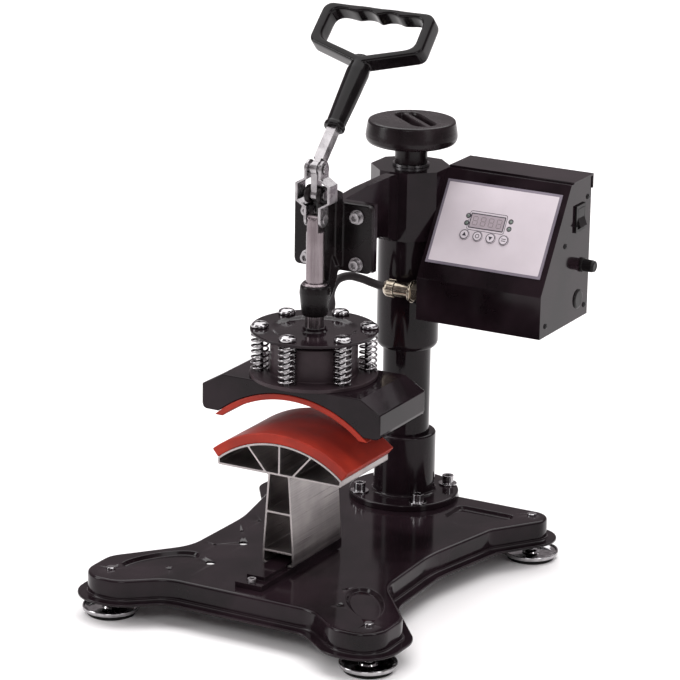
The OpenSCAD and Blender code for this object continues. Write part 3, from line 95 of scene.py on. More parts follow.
def rings_mesh(name, rings, closed=True, caps=(True, True), join_ends=False):
    """Rings, an array (m, n, 3), become m - 1 bands of quads; closed joins each ring's ends.

    caps close the first and last ring with one face each; join_ends runs a band from last ring to first.
    """
    rings = np.asarray(rings, float)
    m, n = rings.shape[:2]
    rows = np.arange(m if join_ends else m - 1)[:, None]
    cols = np.arange(n if closed else n - 1)[None, :]
    a = rows * n + cols
    b = rows * n + (cols + 1) % n
    c = ((rows + 1) % m) * n + (cols + 1) % n
    d = ((rows + 1) % m) * n + cols
    faces = np.stack([a, b, c, d], -1).reshape(-1, 4).tolist()
    if caps[0] and not join_ends:
        faces.append(list(range(n - 1, -1, -1)))
    if caps[1] and not join_ends:
        faces.append(list(range((m - 1) * n, m * n)))
    mesh = bpy.data.meshes.new(name)
    mesh.from_pydata(metres(rings.reshape(-1, 3)).tolist(), [], faces)
    return mesh


def tidy_mesh(mesh, sharp=38.0, merge=2e-6):
    """Merges doubles, turns faces outwards, and shades smooth but for edges above sharp degrees."""
    bm = bmesh.new()
    bm.from_mesh(mesh)
    bmesh.ops.remove_doubles(bm, verts=bm.verts, dist=merge)
    bmesh.ops.recalc_face_normals(bm, faces=bm.faces)
    bm.to_mesh(mesh)
    bm.free()
    mesh.polygons.foreach_set("use_smooth", np.ones(len(mesh.polygons), bool))
    mesh.set_sharp_from_angle(angle=math.radians(sharp))
    return mesh


def piece(mesh, finish, body, replaces=(), tidy=True, sharp=38.0):
    """A mesh becomes a piece: its finish, the body it rides on and the CAD nodes it stands for."""
    if tidy:
        tidy_mesh(mesh, sharp)
    obj = bpy.data.objects.new(mesh.name, mesh)
    bpy.context.scene.collection.objects.link(obj)
    mesh.materials.append(FINISHES[finish][0])
    if body:
        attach(obj, body)
    if replaces:
        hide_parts(*replaces)
    return obj


def soften(obj, width, segments=3, angle=32.0):
    """Rounds the edges sharper than angle by width millimetres and keeps flat faces flat in the shading."""
    bevel = obj.modifiers.new("edge", "BEVEL")
    bevel.width = width / 1000
    bevel.segments = segments
    bevel.limit_method = "ANGLE"
    bevel.angle_limit = math.radians(angle)
    weighted = obj.modifiers.new("flats", "WEIGHTED_NORMAL")
    weighted.keep_sharp = True
    return obj


def merged_copy(node, name):
    """A CAD solid's triangles, merged, with coplanar ones joined to one face."""
    bm = bmesh.new()
    bm.from_mesh(frame["nodes"][node].data)
    bmesh.ops.remove_doubles(bm, verts=bm.verts, dist=2e-6)
    bmesh.ops.dissolve_limit(bm, angle_limit=math.radians(0.2), verts=bm.verts, edges=bm.edges)
    mesh = bpy.data.meshes.new(name)
    bm.to_mesh(mesh)
    bm.free()
    mesh.polygons.foreach_set("use_smooth", np.ones(len(mesh.polygons), bool))
    mesh.set_sharp_from_angle(angle=math.radians(32))
    return mesh


def machined(node, name, finish, edge):
    """A turned, sawn or folded CAD piece with its edges broken by edge millimetres."""
    obj = piece(merged_copy(node, name), finish, NODE_BODY[node], (node,), tidy=False)
    return soften(obj, edge, 2) if edge else obj


def cast(node, name, finish, voxel, smooth):
    """A casting or moulding: the CAD solid remeshed at voxel millimetres and relaxed into round corners."""
    obj = piece(merged_copy(node, name), finish, NODE_BODY[node], (node,), tidy=False)
    return relax(obj, voxel, smooth)


def relax(obj, voxel, smooth):
    remesh = obj.modifiers.new("one skin", "REMESH")
    remesh.mode = "VOXEL"
    remesh.voxel_size = voxel / 1000
    remesh.use_smooth_shade = True
    relaxed = obj.modifiers.new("relaxed", "SMOOTH")
    relaxed.factor = 0.5
    relaxed.iterations = smooth
    return obj


def fillet(points, n=6):
    """An open run of points [a, b, radius] with each inner corner replaced by an arc of its radius."""
    out = [points[0][:2]]
    for (p, q, s) in zip(points[:-2], points[1:-1], points[2:]):
        p, q, r, s = np.array(p[:2]), np.array(q[:2]), q[2] if len(q) > 2 else 0, np.array(s[:2])
        if r <= 0:
            out.append(tuple(q))
            continue
        u, v = unit(p - q), unit(s - q)
        half = math.acos(np.clip(u @ v, -1, 1)) / 2
        run = min(r / math.tan(half), 0.49 * np.linalg.norm(p - q), 0.49 * np.linalg.norm(s - q))
        t = np.linspace(0, 1, n + 1)[:, None]
        a, b = q + u * run, q + v * run
        out += [tuple(w) for w in (1 - t) ** 2 * a + 2 * t * (1 - t) * q + t ** 2 * b]
    out.append(points[-1][:2])
    return np.array(out, float)


def turned(profile, centre, n=96, axis="z"):
    """A profile of (radius, height) turned about an axis: x = r cos a, y = r sin a, z = height."""
    a = np.radians(np.linspace(0, 360, n, endpoint=False))
    r, h = profile[:, 0][:, None], profile[:, 1][:, None]
    x, y, z = r * np.cos(a), r * np.sin(a), h + 0 * a
    order = {"z": (x, y, z), "x": (z, x, y)}[axis]
    return np.stack(order, -1) + np.array(centre, float)


def joined(name, meshes):
    """Several meshes in one."""
    bm = bmesh.new()
    for mesh in meshes:
        bm.from_mesh(mesh)
    out = bpy.data.meshes.new(name)
    bm.to_mesh(out)
    bm.free()
    return out


def corner_arc(p, q, s, r, n):
    """Points of the arc of radius r that rounds the corner at q between p and s."""
    a, b = unit(p - q), unit(s - q)
    half = math.acos(np.clip(a @ b, -1, 1)) / 2
    c = q + unit(a + b) * r / math.sin(half)
    start = q + a * r / math.tan(half) - c
    turn = np.sign((q - p)[0] * (s - q)[1] - (q - p)[1] * (s - q)[0]) * (math.pi - 2 * half)
    t = math.atan2(start[1], start[0]) + turn * np.linspace(0, 1, n + 1)
    return c + r * np.stack([np.cos(t), np.sin(t)], -1)


def rounded(corners, n=8):
    """Closed outline through corners [x, y, radius]."""
    q = np.array(corners, float)
    return np.concatenate([
        corner_arc(q[i - 1, :2], q[i, :2], q[(i + 1) % len(q), :2], q[i, 2], n) for i in range(len(q))])


def grown(corners, d):
    """The same corners moved outwards by d, with their radii following; the outline runs anticlockwise."""
    q = np.array(corners, float)
    p, s = np.roll(q, 1, 0)[:, :2], np.roll(q, -1, 0)[:, :2]
    u, v = unit(q[:, :2] - p), unit(s - q[:, :2])
    side = np.sign(u[:, 0] * v[:, 1] - u[:, 1] * v[:, 0])
    n1, n2 = np.stack([u[:, 1], -u[:, 0]], -1), np.stack([v[:, 1], -v[:, 0]], -1)
    moved = q[:, :2] + (n1 + n2) * d / (1 + (n1 * n2).sum(-1, keepdims=True))
    return np.column_stack([moved, np.maximum(q[:, 2] + side * d, 1.2)])


def inside(points, outline):
    """Even-odd test of points against a closed outline."""
    a, b = outline, np.roll(outline, -1, 0)
    x, y = points[:, 0][:, None], points[:, 1][:, None]
    crosses = (a[:, 1] > y) != (b[:, 1] > y)
    with np.errstate(divide="ignore", invalid="ignore"):
        at = (b[:, 0] - a[:, 0]) * (y - a[:, 1]) / (b[:, 1] - a[:, 1]) + a[:, 0]
    return (np.sum(crosses & (x < at), axis=1) % 2).astype(bool)


def flat_with_holes(name, outer, holes, lay):
    """A flat sheet inside one outline and outside the others; lay takes its (x, y) to the drawing."""
    loops = [np.asarray(outer)] + [np.asarray(h) for h in holes]
    verts = np.concatenate(loops)
    edges, start = [], 0
    for loop in loops:
        i = np.arange(len(loop))
        edges += np.stack([start + i, start + (i + 1) % len(loop)], -1).tolist()
        start += len(loop)
    found = delaunay_2d_cdt([Vector(v) for v in verts], edges, [], 0, 1e-7)
    pts, tris = np.array([tuple(v) for v in found[0]]), np.array(found[2])
    mid = pts[tris].mean(1)
    keep = inside(mid, loops[0])
    for hole in loops[1:]:
        keep &= ~inside(mid, hole)
    mesh = bpy.data.meshes.new(name)
    mesh.from_pydata(metres(lay(pts[:, 0], pts[:, 1])).tolist(), [], tris[keep].tolist())
    return mesh


def at_height(outline, z):
    return np.column_stack([outline, np.full(len(outline), float(z))])


def smooth_route(points, k):
    """Catmull-Rom curve through points, k steps between neighbours."""
    p = np.asarray(points, float)
    q = np.vstack([p[:1], p, p[-1:]])
    t = (np.arange(k) / k)[:, None]
    runs = [
        0.5 * (2 * b + (c - a) * t + (2 * a - 5 * b + 4 * c - d) * t ** 2 + (3 * b - a - 3 * c + d) * t ** 3)
        for a, b, c, d in zip(q[:-3], q[1:-2], q[2:-1], q[3:])]
    return np.vstack(runs + [p[-1:]])


def tube_rings(path, radius, n=12, side=(0, 0, 1)):
    """Rings of a round tube: each ring's side vector is the last one made square to the new direction."""
    path = np.asarray(path, float)
    d = unit(np.gradient(path, axis=0))
    s, out, r = np.array(side, float), [], np.broadcast_to(radius, len(path))
    a = np.linspace(0, 2 * np.pi, n, endpoint=False)[:, None]
    for i in range(len(path)):
        s = unit(s - d[i] * (s @ d[i]))
        out.append(path[i] + r[i] * (s * np.cos(a) + np.cross(d[i], s) * np.sin(a)))
    return np.array(out)


# ---------------------------------------------------------------- finishes

def colour(code):
    """sRGB hex to linear RGBA."""
    c = np.array([int(code[i:i + 2], 16) for i in (0, 2, 4)]) / 255
    c = np.where(c <= 0.04045, c / 12.92, ((c + 0.055) / 1.055) ** 2.4)
    return (*c.tolist(), 1.0)


def add(tree, kind, settings=None, links=None):
    """Adds a node; settings name its sockets, its properties or a ramp's stops; links feed its sockets."""
    node = tree.nodes.new("ShaderNode" + kind)
    for key, value in (settings or {}).items():
        if key == "stops":
            for stop, (at, shade) in zip(node.color_ramp.elements, value):
                stop.position, stop.color = at, shade
        elif key in node.inputs:
            node.inputs[key].default_value = value
        else:
            setattr(node, key, value)
    for key, source in (links or {}).items():
        tree.links.new(source, node.inputs[key])
    return node


def blank(name):
    """An empty material and the object's own coordinates."""
    mat = bpy.data.materials.new(name)
    mat.use_nodes = True
    mat.node_tree.nodes.clear()
    return mat, mat.node_tree, add(mat.node_tree, "TexCoord").outputs["Object"]


def per_mm(size):
    """Texture scale whose pattern repeats about every size millimetres."""
    return 1000.0 / size


def skin(name, dark, light, rough, cloud_mm, grain_mm, depth_mm, sockets):
    """Enamel, plastic or rubber: clouded tone and gloss over a grain of grain_mm, raised by depth_mm."""
    mat, tree, place = blank(name)
    cloud = add(
        tree, "TexNoise", {"Scale": per_mm(cloud_mm), "Detail": 4.0}, {"Vector": place}).outputs["Fac"]
    grain = add(
        tree, "TexNoise", {"Scale": per_mm(grain_mm), "Detail": 2.0}, {"Vector": place}).outputs["Fac"]
    tone = add(tree, "ValToRGB", {"stops": [(0.35, colour(dark)), (0.65, colour(light))]}, {"Fac": cloud})
    gloss = add(
        tree, "MapRange", {"From Min": 0.3, "From Max": 0.7, "To Min": rough[0], "To Max": rough[1]},
        {"Value": cloud})
    bump = add(tree, "Bump", {"Strength": 0.3, "Distance": depth_mm / 1000}, {"Height": grain})
    shader = add(tree, "BsdfPrincipled", sockets, {
        "Base Color": tone.outputs["Color"], "Roughness": gloss.outputs["Result"],
        "Normal": bump.outputs["Normal"]})
    add(tree, "OutputMaterial", {}, {"Surface": shader.outputs[0]})
    return mat


def plated(name, dark, light, rough, speck_mm=1.2):
    """Zinc, chrome or nickel plate: bright metal whose tone and gloss are blotchy over about 9 mm."""
    mat, tree, place = blank(name)
    cloud = add(tree, "TexNoise", {"Scale": per_mm(9), "Detail": 5.0}, {"Vector": place}).outputs["Fac"]
    grain = add(
        tree, "TexNoise", {"Scale": per_mm(speck_mm), "Detail": 2.0}, {"Vector": place}).outputs["Fac"]
    tone = add(tree, "ValToRGB", {"stops": [(0.3, colour(dark)), (0.7, colour(light))]}, {"Fac": cloud})
    gloss = add(
        tree, "MapRange", {"From Min": 0.3, "From Max": 0.7, "To Min": rough * 0.7, "To Max": rough * 1.4},
        {"Value": cloud})
    bump = add(tree, "Bump", {"Strength": 0.12, "Distance": 0.00005}, {"Height": grain})
    shader = add(tree, "BsdfPrincipled", {"Metallic": 1.0}, {
        "Base Color": tone.outputs["Color"], "Roughness": gloss.outputs["Result"],
        "Normal": bump.outputs["Normal"]})
    add(tree, "OutputMaterial", {}, {"Surface": shader.outputs[0]})
    return mat


def lined(name, dark, light, rough, pitch_mm, depth_mm):
    """Drawn, ground or turned metal: noise stretched to pitch_mm along x, y and z, over clouds of 35 mm."""
    mat, tree, place = blank(name)
    drawn = add(
        tree, "Mapping", {"Scale": tuple(per_mm(p) for p in pitch_mm)}, {"Vector": place}).outputs["Vector"]
    lines = add(tree, "TexNoise", {"Scale": 1.0, "Detail": 3.0}, {"Vector": drawn}).outputs["Fac"]
    cloud = add(tree, "TexNoise", {"Scale": per_mm(35), "Detail": 3.0}, {"Vector": place}).outputs["Fac"]
    both = add(tree, "Math", {"operation": "ADD"}, {0: lines, 1: cloud}).outputs[0]
    spread = add(tree, "MapRange", {"From Min": 0.75, "From Max": 1.25}, {"Value": both}).outputs["Result"]
    tone = add(tree, "ValToRGB", {"stops": [(0.0, colour(dark)), (1.0, colour(light))]}, {"Fac": spread})
    gloss = add(
        tree, "MapRange", {"From Min": 0.3, "From Max": 0.7, "To Min": rough * 0.75, "To Max": rough * 1.3},
        {"Value": lines})
    bump = add(tree, "Bump", {"Strength": 0.2, "Distance": depth_mm / 1000}, {"Height": lines})
    shader = add(tree, "BsdfPrincipled", {"Metallic": 1.0}, {
        "Base Color": tone.outputs["Color"], "Roughness": gloss.outputs["Result"],
        "Normal": bump.outputs["Normal"]})
    add(tree, "OutputMaterial", {}, {"Surface": shader.outputs[0]})
    return mat


def braid():
    """Glass-fibre sleeve over the heater lead: crossed yarns about 1 mm wide, on the tube's own UV map."""
    mat, tree, _ = blank("braided_glass_sleeve")
    uv = add(tree, "UVMap").outputs["UV"]
    yarns = []
    for turn in (math.radians(38), math.radians(-38)):
        along = add(tree, "Mapping", {"Rotation": (0, 0, turn)}, {"Vector": uv}).outputs["Vector"]
        yarn = add(tree, "TexWave", {"Scale": 0.32, "Distortion": 0.4, "Detail": 1.0}, {"Vector": along})
        yarns.append(yarn.outputs["Fac"])
    woven = add(tree, "Math", {"operation": "MAXIMUM"}, dict(enumerate(yarns))).outputs[0]
    tone = add(
        tree, "ValToRGB", {"stops": [(0.2, colour("0f0c0d")), (0.9, colour("2c2528"))]}, {"Fac": woven})
    bump = add(tree, "Bump", {"Strength": 0.6, "Distance": 0.0003}, {"Height": woven})
    shader = add(tree, "BsdfPrincipled", {
        "IOR": 1.5, "Roughness": 0.5, "Specular IOR Level": 0.3, "Sheen Weight": 0.15,
        "Sheen Roughness": 0.4}, {"Base Color": tone.outputs["Color"], "Normal": bump.outputs["Normal"]})
    add(tree, "OutputMaterial", {}, {"Surface": shader.outputs[0]})
    return mat


DULL = {"IOR": 1.5, "Specular IOR Level": 0.17}
PLASTIC = {"IOR": 1.49, "Specular IOR Level": 0.2}
CLEAR = {"IOR": 1.49, "Specular IOR Level": 0.5}

FINISHES = {
    # Black baked enamel on steel: deep, warm black with a mirror-like skin that is faintly wavy
    "enamel": (
        skin("black_baked_enamel", "110b0e", "22181d", (0.07, 0.15), 60, 3.2, 0.04, DULL), "black_enamel"),
    # Satin paint on the drum: dark brownish grey, less glossy than the enamel round it
    "drum": (
        skin("satin_painted_drum", "2a2125", "392e32", (0.32, 0.45), 30, 1.4, 0.05, DULL), "black_enamel"),
    # Enamel over a sand casting: the skin's grain, really about 0.6 mm, is drawn at 1.6 mm so that it shows
    "casting": (
        skin("black_enamelled_casting", "0c090a", "181214", (0.2, 0.34), 30, 1.6, 0.12, DULL),
        "black_casting"),
    # Zinc plate: satin silver-grey, a little uneven in tone
    "zinc": (plated("bright_zinc_plate", "807d7f", "b0adaf", 0.27), "zinc_plate"),
    # Chrome plate: near-white mirror that shows dark surroundings
    "chrome": (plated("polished_chrome_plate", "949294", "bdbbbd", 0.1, 4.0), "chrome"),
    # Ground steel: grey with a pinkish cast, fine lines along the rod
    "rod": (lined("ground_plunger_steel", "70676a", "8d8487", 0.26, (0.9, 0.9, 45), 0.01), "ground_steel"),
    # Zinc-plated spring wire: brighter and smoother than the screws
    "spring": (plated("zinc_plated_spring_wire", "878486", "b6b3b5", 0.2), "spring_steel"),
    # Black-oxide steel: dark grey, dull, slightly oily
    "oxide": (
        skin("black_oxide_steel", "0e0e0f", "1c1b1d", (0.3, 0.4), 25, 0.9, 0.05, PLASTIC), "black_oxide"),
    # Moulded rubber: matt and nearly black
    "sole": (
        skin("moulded_rubber_sole", "0c0b0b", "151414", (0.6, 0.75), 25, 0.9, 0.08, PLASTIC), "rubber_sole"),
    # Aluminium as extruded: even satin grey, very fine lines along the press, soft warm and cool clouds
    "extrusion": (lined("drawn_aluminium_extrusion", "8d8888", "aea8a7", 0.36, (1.1, 70, 1.1), 0.015),
                  "extruded_aluminium"),
    # Cast aluminium platen: duller grey, slightly rough
    "platen": (plated("cast_aluminium_platen", "6f6e70", "939294", 0.45), "cast_aluminium"),
    # Silicone sponge: deep brick red, dull sheen, fine open pores drawn at 1.5 mm
    "pad": (skin("brick_red_silicone", "821c0d", "a32a15", (0.4, 0.55), 40, 1.5, 0.12,
                 {"IOR": 1.42, "Specular IOR Level": 0.35, "Sheen Weight": 0.05, "Sheen Roughness": 0.5}),
            "red_silicone"),
    # Phenolic moulding: black, half gloss, very fine spark-eroded grain
    "knob": (
        skin("moulded_phenolic_knob", "130d0f", "20181b", (0.22, 0.3), 25, 1.1, 0.05, PLASTIC),
        "knob_plastic"),
    # Gloss moulding: black with broad soft highlights
    "grip": (
        skin("gloss_moulded_grip", "090708", "141012", (0.12, 0.2), 30, 4.0, 0.04, PLASTIC), "grip_plastic"),
    # Cast acrylic edge of the panel over the black case, glossy: its grey with a lilac cast is painted sheen,
    # put in place of the gloss on the black seen through the clear plate
    "acrylic": (
        skin("acrylic_margin_painted_sheen", "6f6873", "857d88", (0.04, 0.08), 40, 6.0, 0.02, CLEAR),
        "panel_plastic"),
    # White print behind acrylic: very light warm grey, glossy
    "panel": (
        skin("white_printed_acrylic", "c9c0c6", "d6cdd3", (0.06, 0.1), 70, 6.0, 0.02, CLEAR),
        "panel_plastic"),
    # Display glass: pinkish grey, glossy, with segments a shade darker
    "display": (
        skin("display_glass", "a0959b", "aea3a9", (0.06, 0.1), 20, 6.0, 0.02, CLEAR), "display_plastic"),
    "segment": (
        skin("display_segments", "83787e", "8a7f85", (0.1, 0.14), 20, 6.0, 0.02, CLEAR), "display_plastic"),
    # Lamp lenses: small grey-green clear mouldings
    "lamp": (skin("moulded_lamp_lens", "5f6a62", "76817a", (0.1, 0.16), 6, 3.0, 0.03, CLEAR), "lamp_plastic"),
    # Button plastic: light grey, matt
    "button": (
        skin("grey_button_plastic", "c2bac0", "cec6cc", (0.28, 0.4), 25, 0.9, 0.04, PLASTIC),
        "button_plastic"),
    # Screen ink: dark grey, thin and dull
    "ink": (skin("grey_panel_ink", "2e2b31", "3c383f", (0.4, 0.5), 25, 0.9, 0.02, PLASTIC), "button_plastic"),
    # Nylon fittings: black with a fine grain and a faint shine
    "fitting": (
        skin("black_nylon_fitting", "0c0b0b", "171415", (0.28, 0.4), 25, 0.8, 0.05, PLASTIC),
        "fitting_plastic"),
    # Nickel on brass: warm silver
    "nickel": (plated("nickel_plated_brass", "8c8274", "b9afa0", 0.16), "nickel_brass"),
    "lead": (braid(), "lead_sleeve"),
    # Circuit laminate: dark green, half gloss
    "board": (
        skin("green_circuit_laminate", "12301a", "1d4a29", (0.3, 0.4), 25, 0.9, 0.04, PLASTIC),
        "board_laminate"),
    # Turned steel washer: grey with fine rings read as short lines
    "thrust": (lined("turned_thrust_steel", "6c6a6c", "929092", 0.3, (2.0, 2.0, 12), 0.03), "thrust_steel"),
}

# ---------------------------------------------------------------- pressed base

HALF = [
    (88, -369, 45), (130, -403.5, 35), (179.5, -403.5, 30), (179.5, -340, 30), (121, -268, 55),
    (118, -160, 150), (139, -57, 22), (175.5, -3, 17), (176, 25, 20)]
BASE = HALF + [(-x, y, r) for x, y, r in HALF[::-1]]
REAR_POCKET = [(72, -41, 8), (106, -65, 10), (151, -1, 9), (72, -1, 8)]
PILOT_HOLES = [(-97, -292), (-98, -254), (-94.5, -202), (-94, -164), (-101, -344), (86, -299), (104, -344)]


def circle(x, y, r, n=32):
    a = np.linspace(0, 2 * np.pi, n, endpoint=False)
    return np.stack([x + r * np.cos(a), y + r * np.sin(a)], -1)


EGG_LONG, EGG_WIDE, EGG_SWELL, EGG_TURN, EGG_AT = 45, 19, 0.12, math.radians(126), (125, -322.5)
BENCH_HOLES, BENCH_R, PILOT_R, STUD_R, SHEET_T = [(-74, -234), (-74, -304)], 5.5, 2.3, 5.05, 2.6


def front_pocket(side, d):
    """Egg outline moved inwards by d: an ellipse whose width grows towards the foot."""
    a = np.linspace(0, 2 * np.pi, 64, endpoint=False)
    x = np.cos(a) * (EGG_LONG - d)
    y = np.sin(a) * (EGG_WIDE - d) * (1 + EGG_SWELL * np.cos(a))
    across = side * (EGG_AT[0] + x * math.cos(EGG_TURN) - y * math.sin(EGG_TURN))
    return np.stack([across, EGG_AT[1] + x * math.sin(EGG_TURN) + y * math.cos(EGG_TURN)], -1)


def rear_pocket(side, d):
    """The rear pocket's outline moved inwards by d, mirrored by side."""
    return rounded(grown(REAR_POCKET, -d), 8) * np.array([side, 1])


def pocket_mesh(name, outline):
    """Sunk pocket: rings run in and down along a fillet, a slope and a second fillet to a flat floor."""
    steps = fillet([(-1.8, 0), (0, 0, 3), (3.2, -4, 3), (6, -4)], 6)
    rings = [at_height(outline(d), BASE_TOP + z) for d, z in steps]
    return rings_mesh(name, rings, caps=(False, True))


def thicken(obj, side):
    """Gives pressed sheet its thickness: behind its faces where side is -1, in front where it is 1."""
    solid = obj.modifiers.new("sheet thickness", "SOLIDIFY")
    solid.thickness = SHEET_T / 1000
    solid.offset = side
    obj.modifiers.new("flats", "WEIGHTED_NORMAL").keep_sharp = True


def make_base():
    """Pressed steel tray: one sheet from the flange's lip over the rounded edge, with pockets and holes."""
    edge = fillet([(11, 24.6), (11, 27, 1.6), (0, 27, 3), (0, 50, 4.2), (-7, 50)], 7)
    levels = [at_height(rounded(grown(BASE, d), 8), z) for d, z in edge]
    wall = rings_mesh("wall", levels, caps=(False, False))
    pockets = [lambda d, f=f, s=s: f(s, d) for f in (front_pocket, rear_pocket) for s in (1, -1)]
    holes = [p(-1.8) for p in pockets]
    holes += [circle(x, y, BENCH_R) for x, y in BENCH_HOLES]
    holes += [circle(x, y, PILOT_R, 20) for x, y in PILOT_HOLES]
    holes += [circle(x, y, STUD_R, 24) for x, y in FEET.values()]
    top = flat_with_holes(
        "top", rounded(grown(BASE, -7), 8), holes, lambda x, y: np.stack([x, y, 0 * x + BASE_TOP], -1))
    parts = [wall, top] + [pocket_mesh("pocket", p) for p in pockets]
    thicken(piece(joined("pressed_base_tray", parts), "enamel", "base", ("base_frame",), sharp=50), -1)
    a = np.radians(np.linspace(18, 162, 49))
    lip = fillet([(20, 49.9), (60, 49.9, 1.2), (60, 27, 2), (69, 27, 1.2), (69, 24.2)], 5)
    rings = [np.stack([r * np.cos(a), r * np.sin(a), np.full(len(a), z)], -1) for r, z in lip]
    lobe = rings_mesh("column_seat_lobe", rings, closed=False, caps=(False, False))
    thicken(piece(lobe, "enamel", "base", sharp=50), 1)


def make_feet():
    """Chrome cups: a turned shell with a rolled rim and a stud up the middle."""
    profile = fillet([
        (0.0, 3.0), (26.5, 3.0, 2), (30.6, 5.6, 1.5), (30.95, 9.0, 1), (30.2, 10.0, 0.6), (29.2, 9.6, 0.6),
        (28.6, 7.2, 1.2), (25.0, 4.9, 2), (9.5, 5.9, 2), (8.2, 8.8, 1), (5.0, 9.9, 0.8), (4.98, 51.4, 0.3),
        (4.2, 52.2, 0.3), (0.6, 52.2)], 5)
    sole = fillet([
        (0, 0.6), (19, 0.6, 0.3), (20, 0, 0.3), (25.5, 0, 0.3), (26, 0.5, 0.3), (26, 3.0), (0, 3.0)], 3)
    for place, (x, y) in FEET.items():
        body = "foot_" + "".join(w[0] for w in place.split("_"))
        cup = rings_mesh("levelling_foot_" + place, turned(profile, (x, y, 0)))
        piece(cup, "chrome", body, ("foot_" + place,))
        tread = rings_mesh("rubber_sole_" + place, turned(sole, (x, y, 0)))
        piece(tread, "sole", body, ("sole_" + place,))


# ---------------------------------------------------------------- pads and platens

CHORD_Z, SHOULDER_Z, ANKLE_Z, FLOOR_Z, WALL = 157.0, 115.0, 71.15, 56.0, 2.2
PLATEN_HALF, NECK_HALF, SHOULDER_HALF, STEM_HALF, SLOT_HALF = 75.0, 13, 16, 19, 11.5
RIB_X, RIB_REACH = 15, 24
UPPER_IN, UPPER_OUT, UPPER_Z, UPPER_END = 129.2, 135.65, 104.28, 203.35
UPPER_FRONT, UPPER_BACK = -266.0, -165.0


def both_sides(right):
    """A run of points from the middle round the right side, closed by its mirror image."""
    right = np.asarray(right)
    left = (right * [-1, 1])[::-1]
    return np.vstack([right, left])


def cell(corners, r=1.2):
    """Closed outline with corners [x, z] rounded by r, which starts in the middle of the first edge."""
    c = [np.array(p[:2], float) for p in corners]
    first = (c[0] + c[-1]) / 2
    run = [(*first, 0)] + [(*p[:2], p[2] if len(p) > 2 else r) for p in corners] + [(*first, 0)]
    return fillet(run, 4)[:-1]


def drawn_out(outline, depths):
    """Rings of an (x, z) outline, one at each depth y."""
    return [np.stack([outline[:, 0], np.full(len(outline), y), outline[:, 1]], -1) for y in depths]


def make_platen():
    """Extrusion: the end view, an arch over a tapered stem with thin walls, drawn out from front to back."""
    half = PLATEN_HALF
    top_a = math.asin(half / ARCH_R)
    a = np.linspace(0, top_a, 40)
    arch = np.stack([ARCH_R * np.sin(a), ARCH_Z + ARCH_R * np.cos(a)], -1)
    side = fillet([
        (half, arch[-1, 1]), (half, CHORD_Z, 2.2), (NECK_HALF, CHORD_Z, 2.0), (SHOULDER_HALF, SHOULDER_Z, 60),
        (STEM_HALF, ANKLE_Z, 30), (STEM_HALF, FLOOR_Z, 9), (SLOT_HALF, FLOOR_Z, 0),
        (SLOT_HALF, FLOOR_Z + WALL, 0), (STEM_HALF - WALL, FLOOR_Z + WALL, 6.8),
        (STEM_HALF - WALL, ANKLE_Z - WALL / 2, 1.2), (0, ANKLE_Z - WALL / 2)], 6)
    outer = both_sides(np.vstack([arch, side[1:]])[1:-1])
    outer = np.vstack([[[0, ARCH_Z + ARCH_R]], outer])
    lean, half_rib = RIB_REACH / (ARCH_Z + ARCH_R * 0.94 - CHORD_Z), WALL * 0.62
    r_in, low = ARCH_R - WALL, CHORD_Z + WALL

    def on_arch(x):
        return ARCH_Z + math.sqrt(r_in ** 2 - x ** 2)

    def rib(offset):
        """Where a leaning rib's edge, offset from the rib's middle, meets the arch."""
        z = low
        for _ in range(30):
            z = on_arch(RIB_X + offset + lean * (z - CHORD_Z))
        return RIB_X + offset + lean * (z - CHORD_Z), z

    inner_foot, outer_foot = RIB_X - half_rib + lean * WALL, RIB_X + half_rib + lean * WALL
    (xi, zi), (xo, zo) = rib(-half_rib), rib(half_rib)
    crown = [(x, on_arch(x), 0) for x in np.linspace(xi, WALL / 2, 8)[1:-1]]
    flank = [(x, on_arch(x), 0) for x in np.linspace(half - WALL, xo, 18)[1:-1]]
    cells = [
        cell([(inner_foot, low), (xi, zi)] + crown + [(WALL / 2, on_arch(WALL / 2)), (WALL / 2, low)]),
        cell([(half - WALL, low, 0.8), (half - WALL, on_arch(half - WALL), 0.8)] + flank
             + [(xo, zo), (outer_foot, low)])]
    cells += [c * [-1, 1] for c in cells]
    for z0, z1, x0, x1 in (
            (SHOULDER_Z + WALL / 2, CHORD_Z, SHOULDER_HALF - WALL, NECK_HALF - WALL),
            (ANKLE_Z + WALL / 2, SHOULDER_Z - WALL / 2, STEM_HALF - WALL, SHOULDER_HALF - WALL)):
        cells.append(cell([(x0, z0), (x1, z1), (-x1, z1), (-x0, z0)]))
    parts = [flat_with_holes("end", outer, cells, lambda x, z, y=y: np.stack([x, 0 * x + y, z], -1))
             for y in (PAD_FRONT, PAD_BACK)]
    for loop in [outer] + cells:
        parts.append(rings_mesh("wall", drawn_out(loop, (PAD_FRONT, PAD_BACK)), caps=(False, False)))
    obj = piece(joined("aluminium_cap_platen", parts), "extrusion", "platen", ("lower_platen",), sharp=35)
    soften(obj, 0.25, 2, 40)


def pad(name, node, body, radii, reach, middle_z, depths):
    """Moulded pad: a band between two arcs about height middle_z, drawn out from front to back.

    reach is how far each arc goes to a side, in radians; the long edges are rounded.
    """
    runs = np.linspace(-reach[0], reach[0], 72), np.linspace(reach[1], -reach[1], 72)
    outline = np.vstack([
        np.stack([r * np.sin(a), middle_z + r * np.cos(a)], -1) for r, a in zip(radii, runs)])
    rings = drawn_out(outline, np.linspace(*depths, 9))
    soften(piece(rings_mesh(name, rings), "pad", body, (node,)), 1.3, 3, 40)


def make_pads():
    """The lower pad is as wide as the arch under it; the upper pad's arcs end at one height."""
    side = math.asin(PLATEN_HALF / ARCH_R)
    pad("lower_silicone_pad", "lower_pad", "platen", (ARCH_R + 0.05, CAP_R), (side, side), ARCH_Z,
        (PAD_FRONT, PAD_BACK))
    ends = [math.acos((UPPER_END - UPPER_Z) / r) for r in (UPPER_IN, UPPER_OUT)]
    pad("upper_silicone_pad", "upper_pad", "head", (UPPER_IN, UPPER_OUT), ends, UPPER_Z,
        (UPPER_FRONT, UPPER_BACK))


# ---------------------------------------------------------------- head

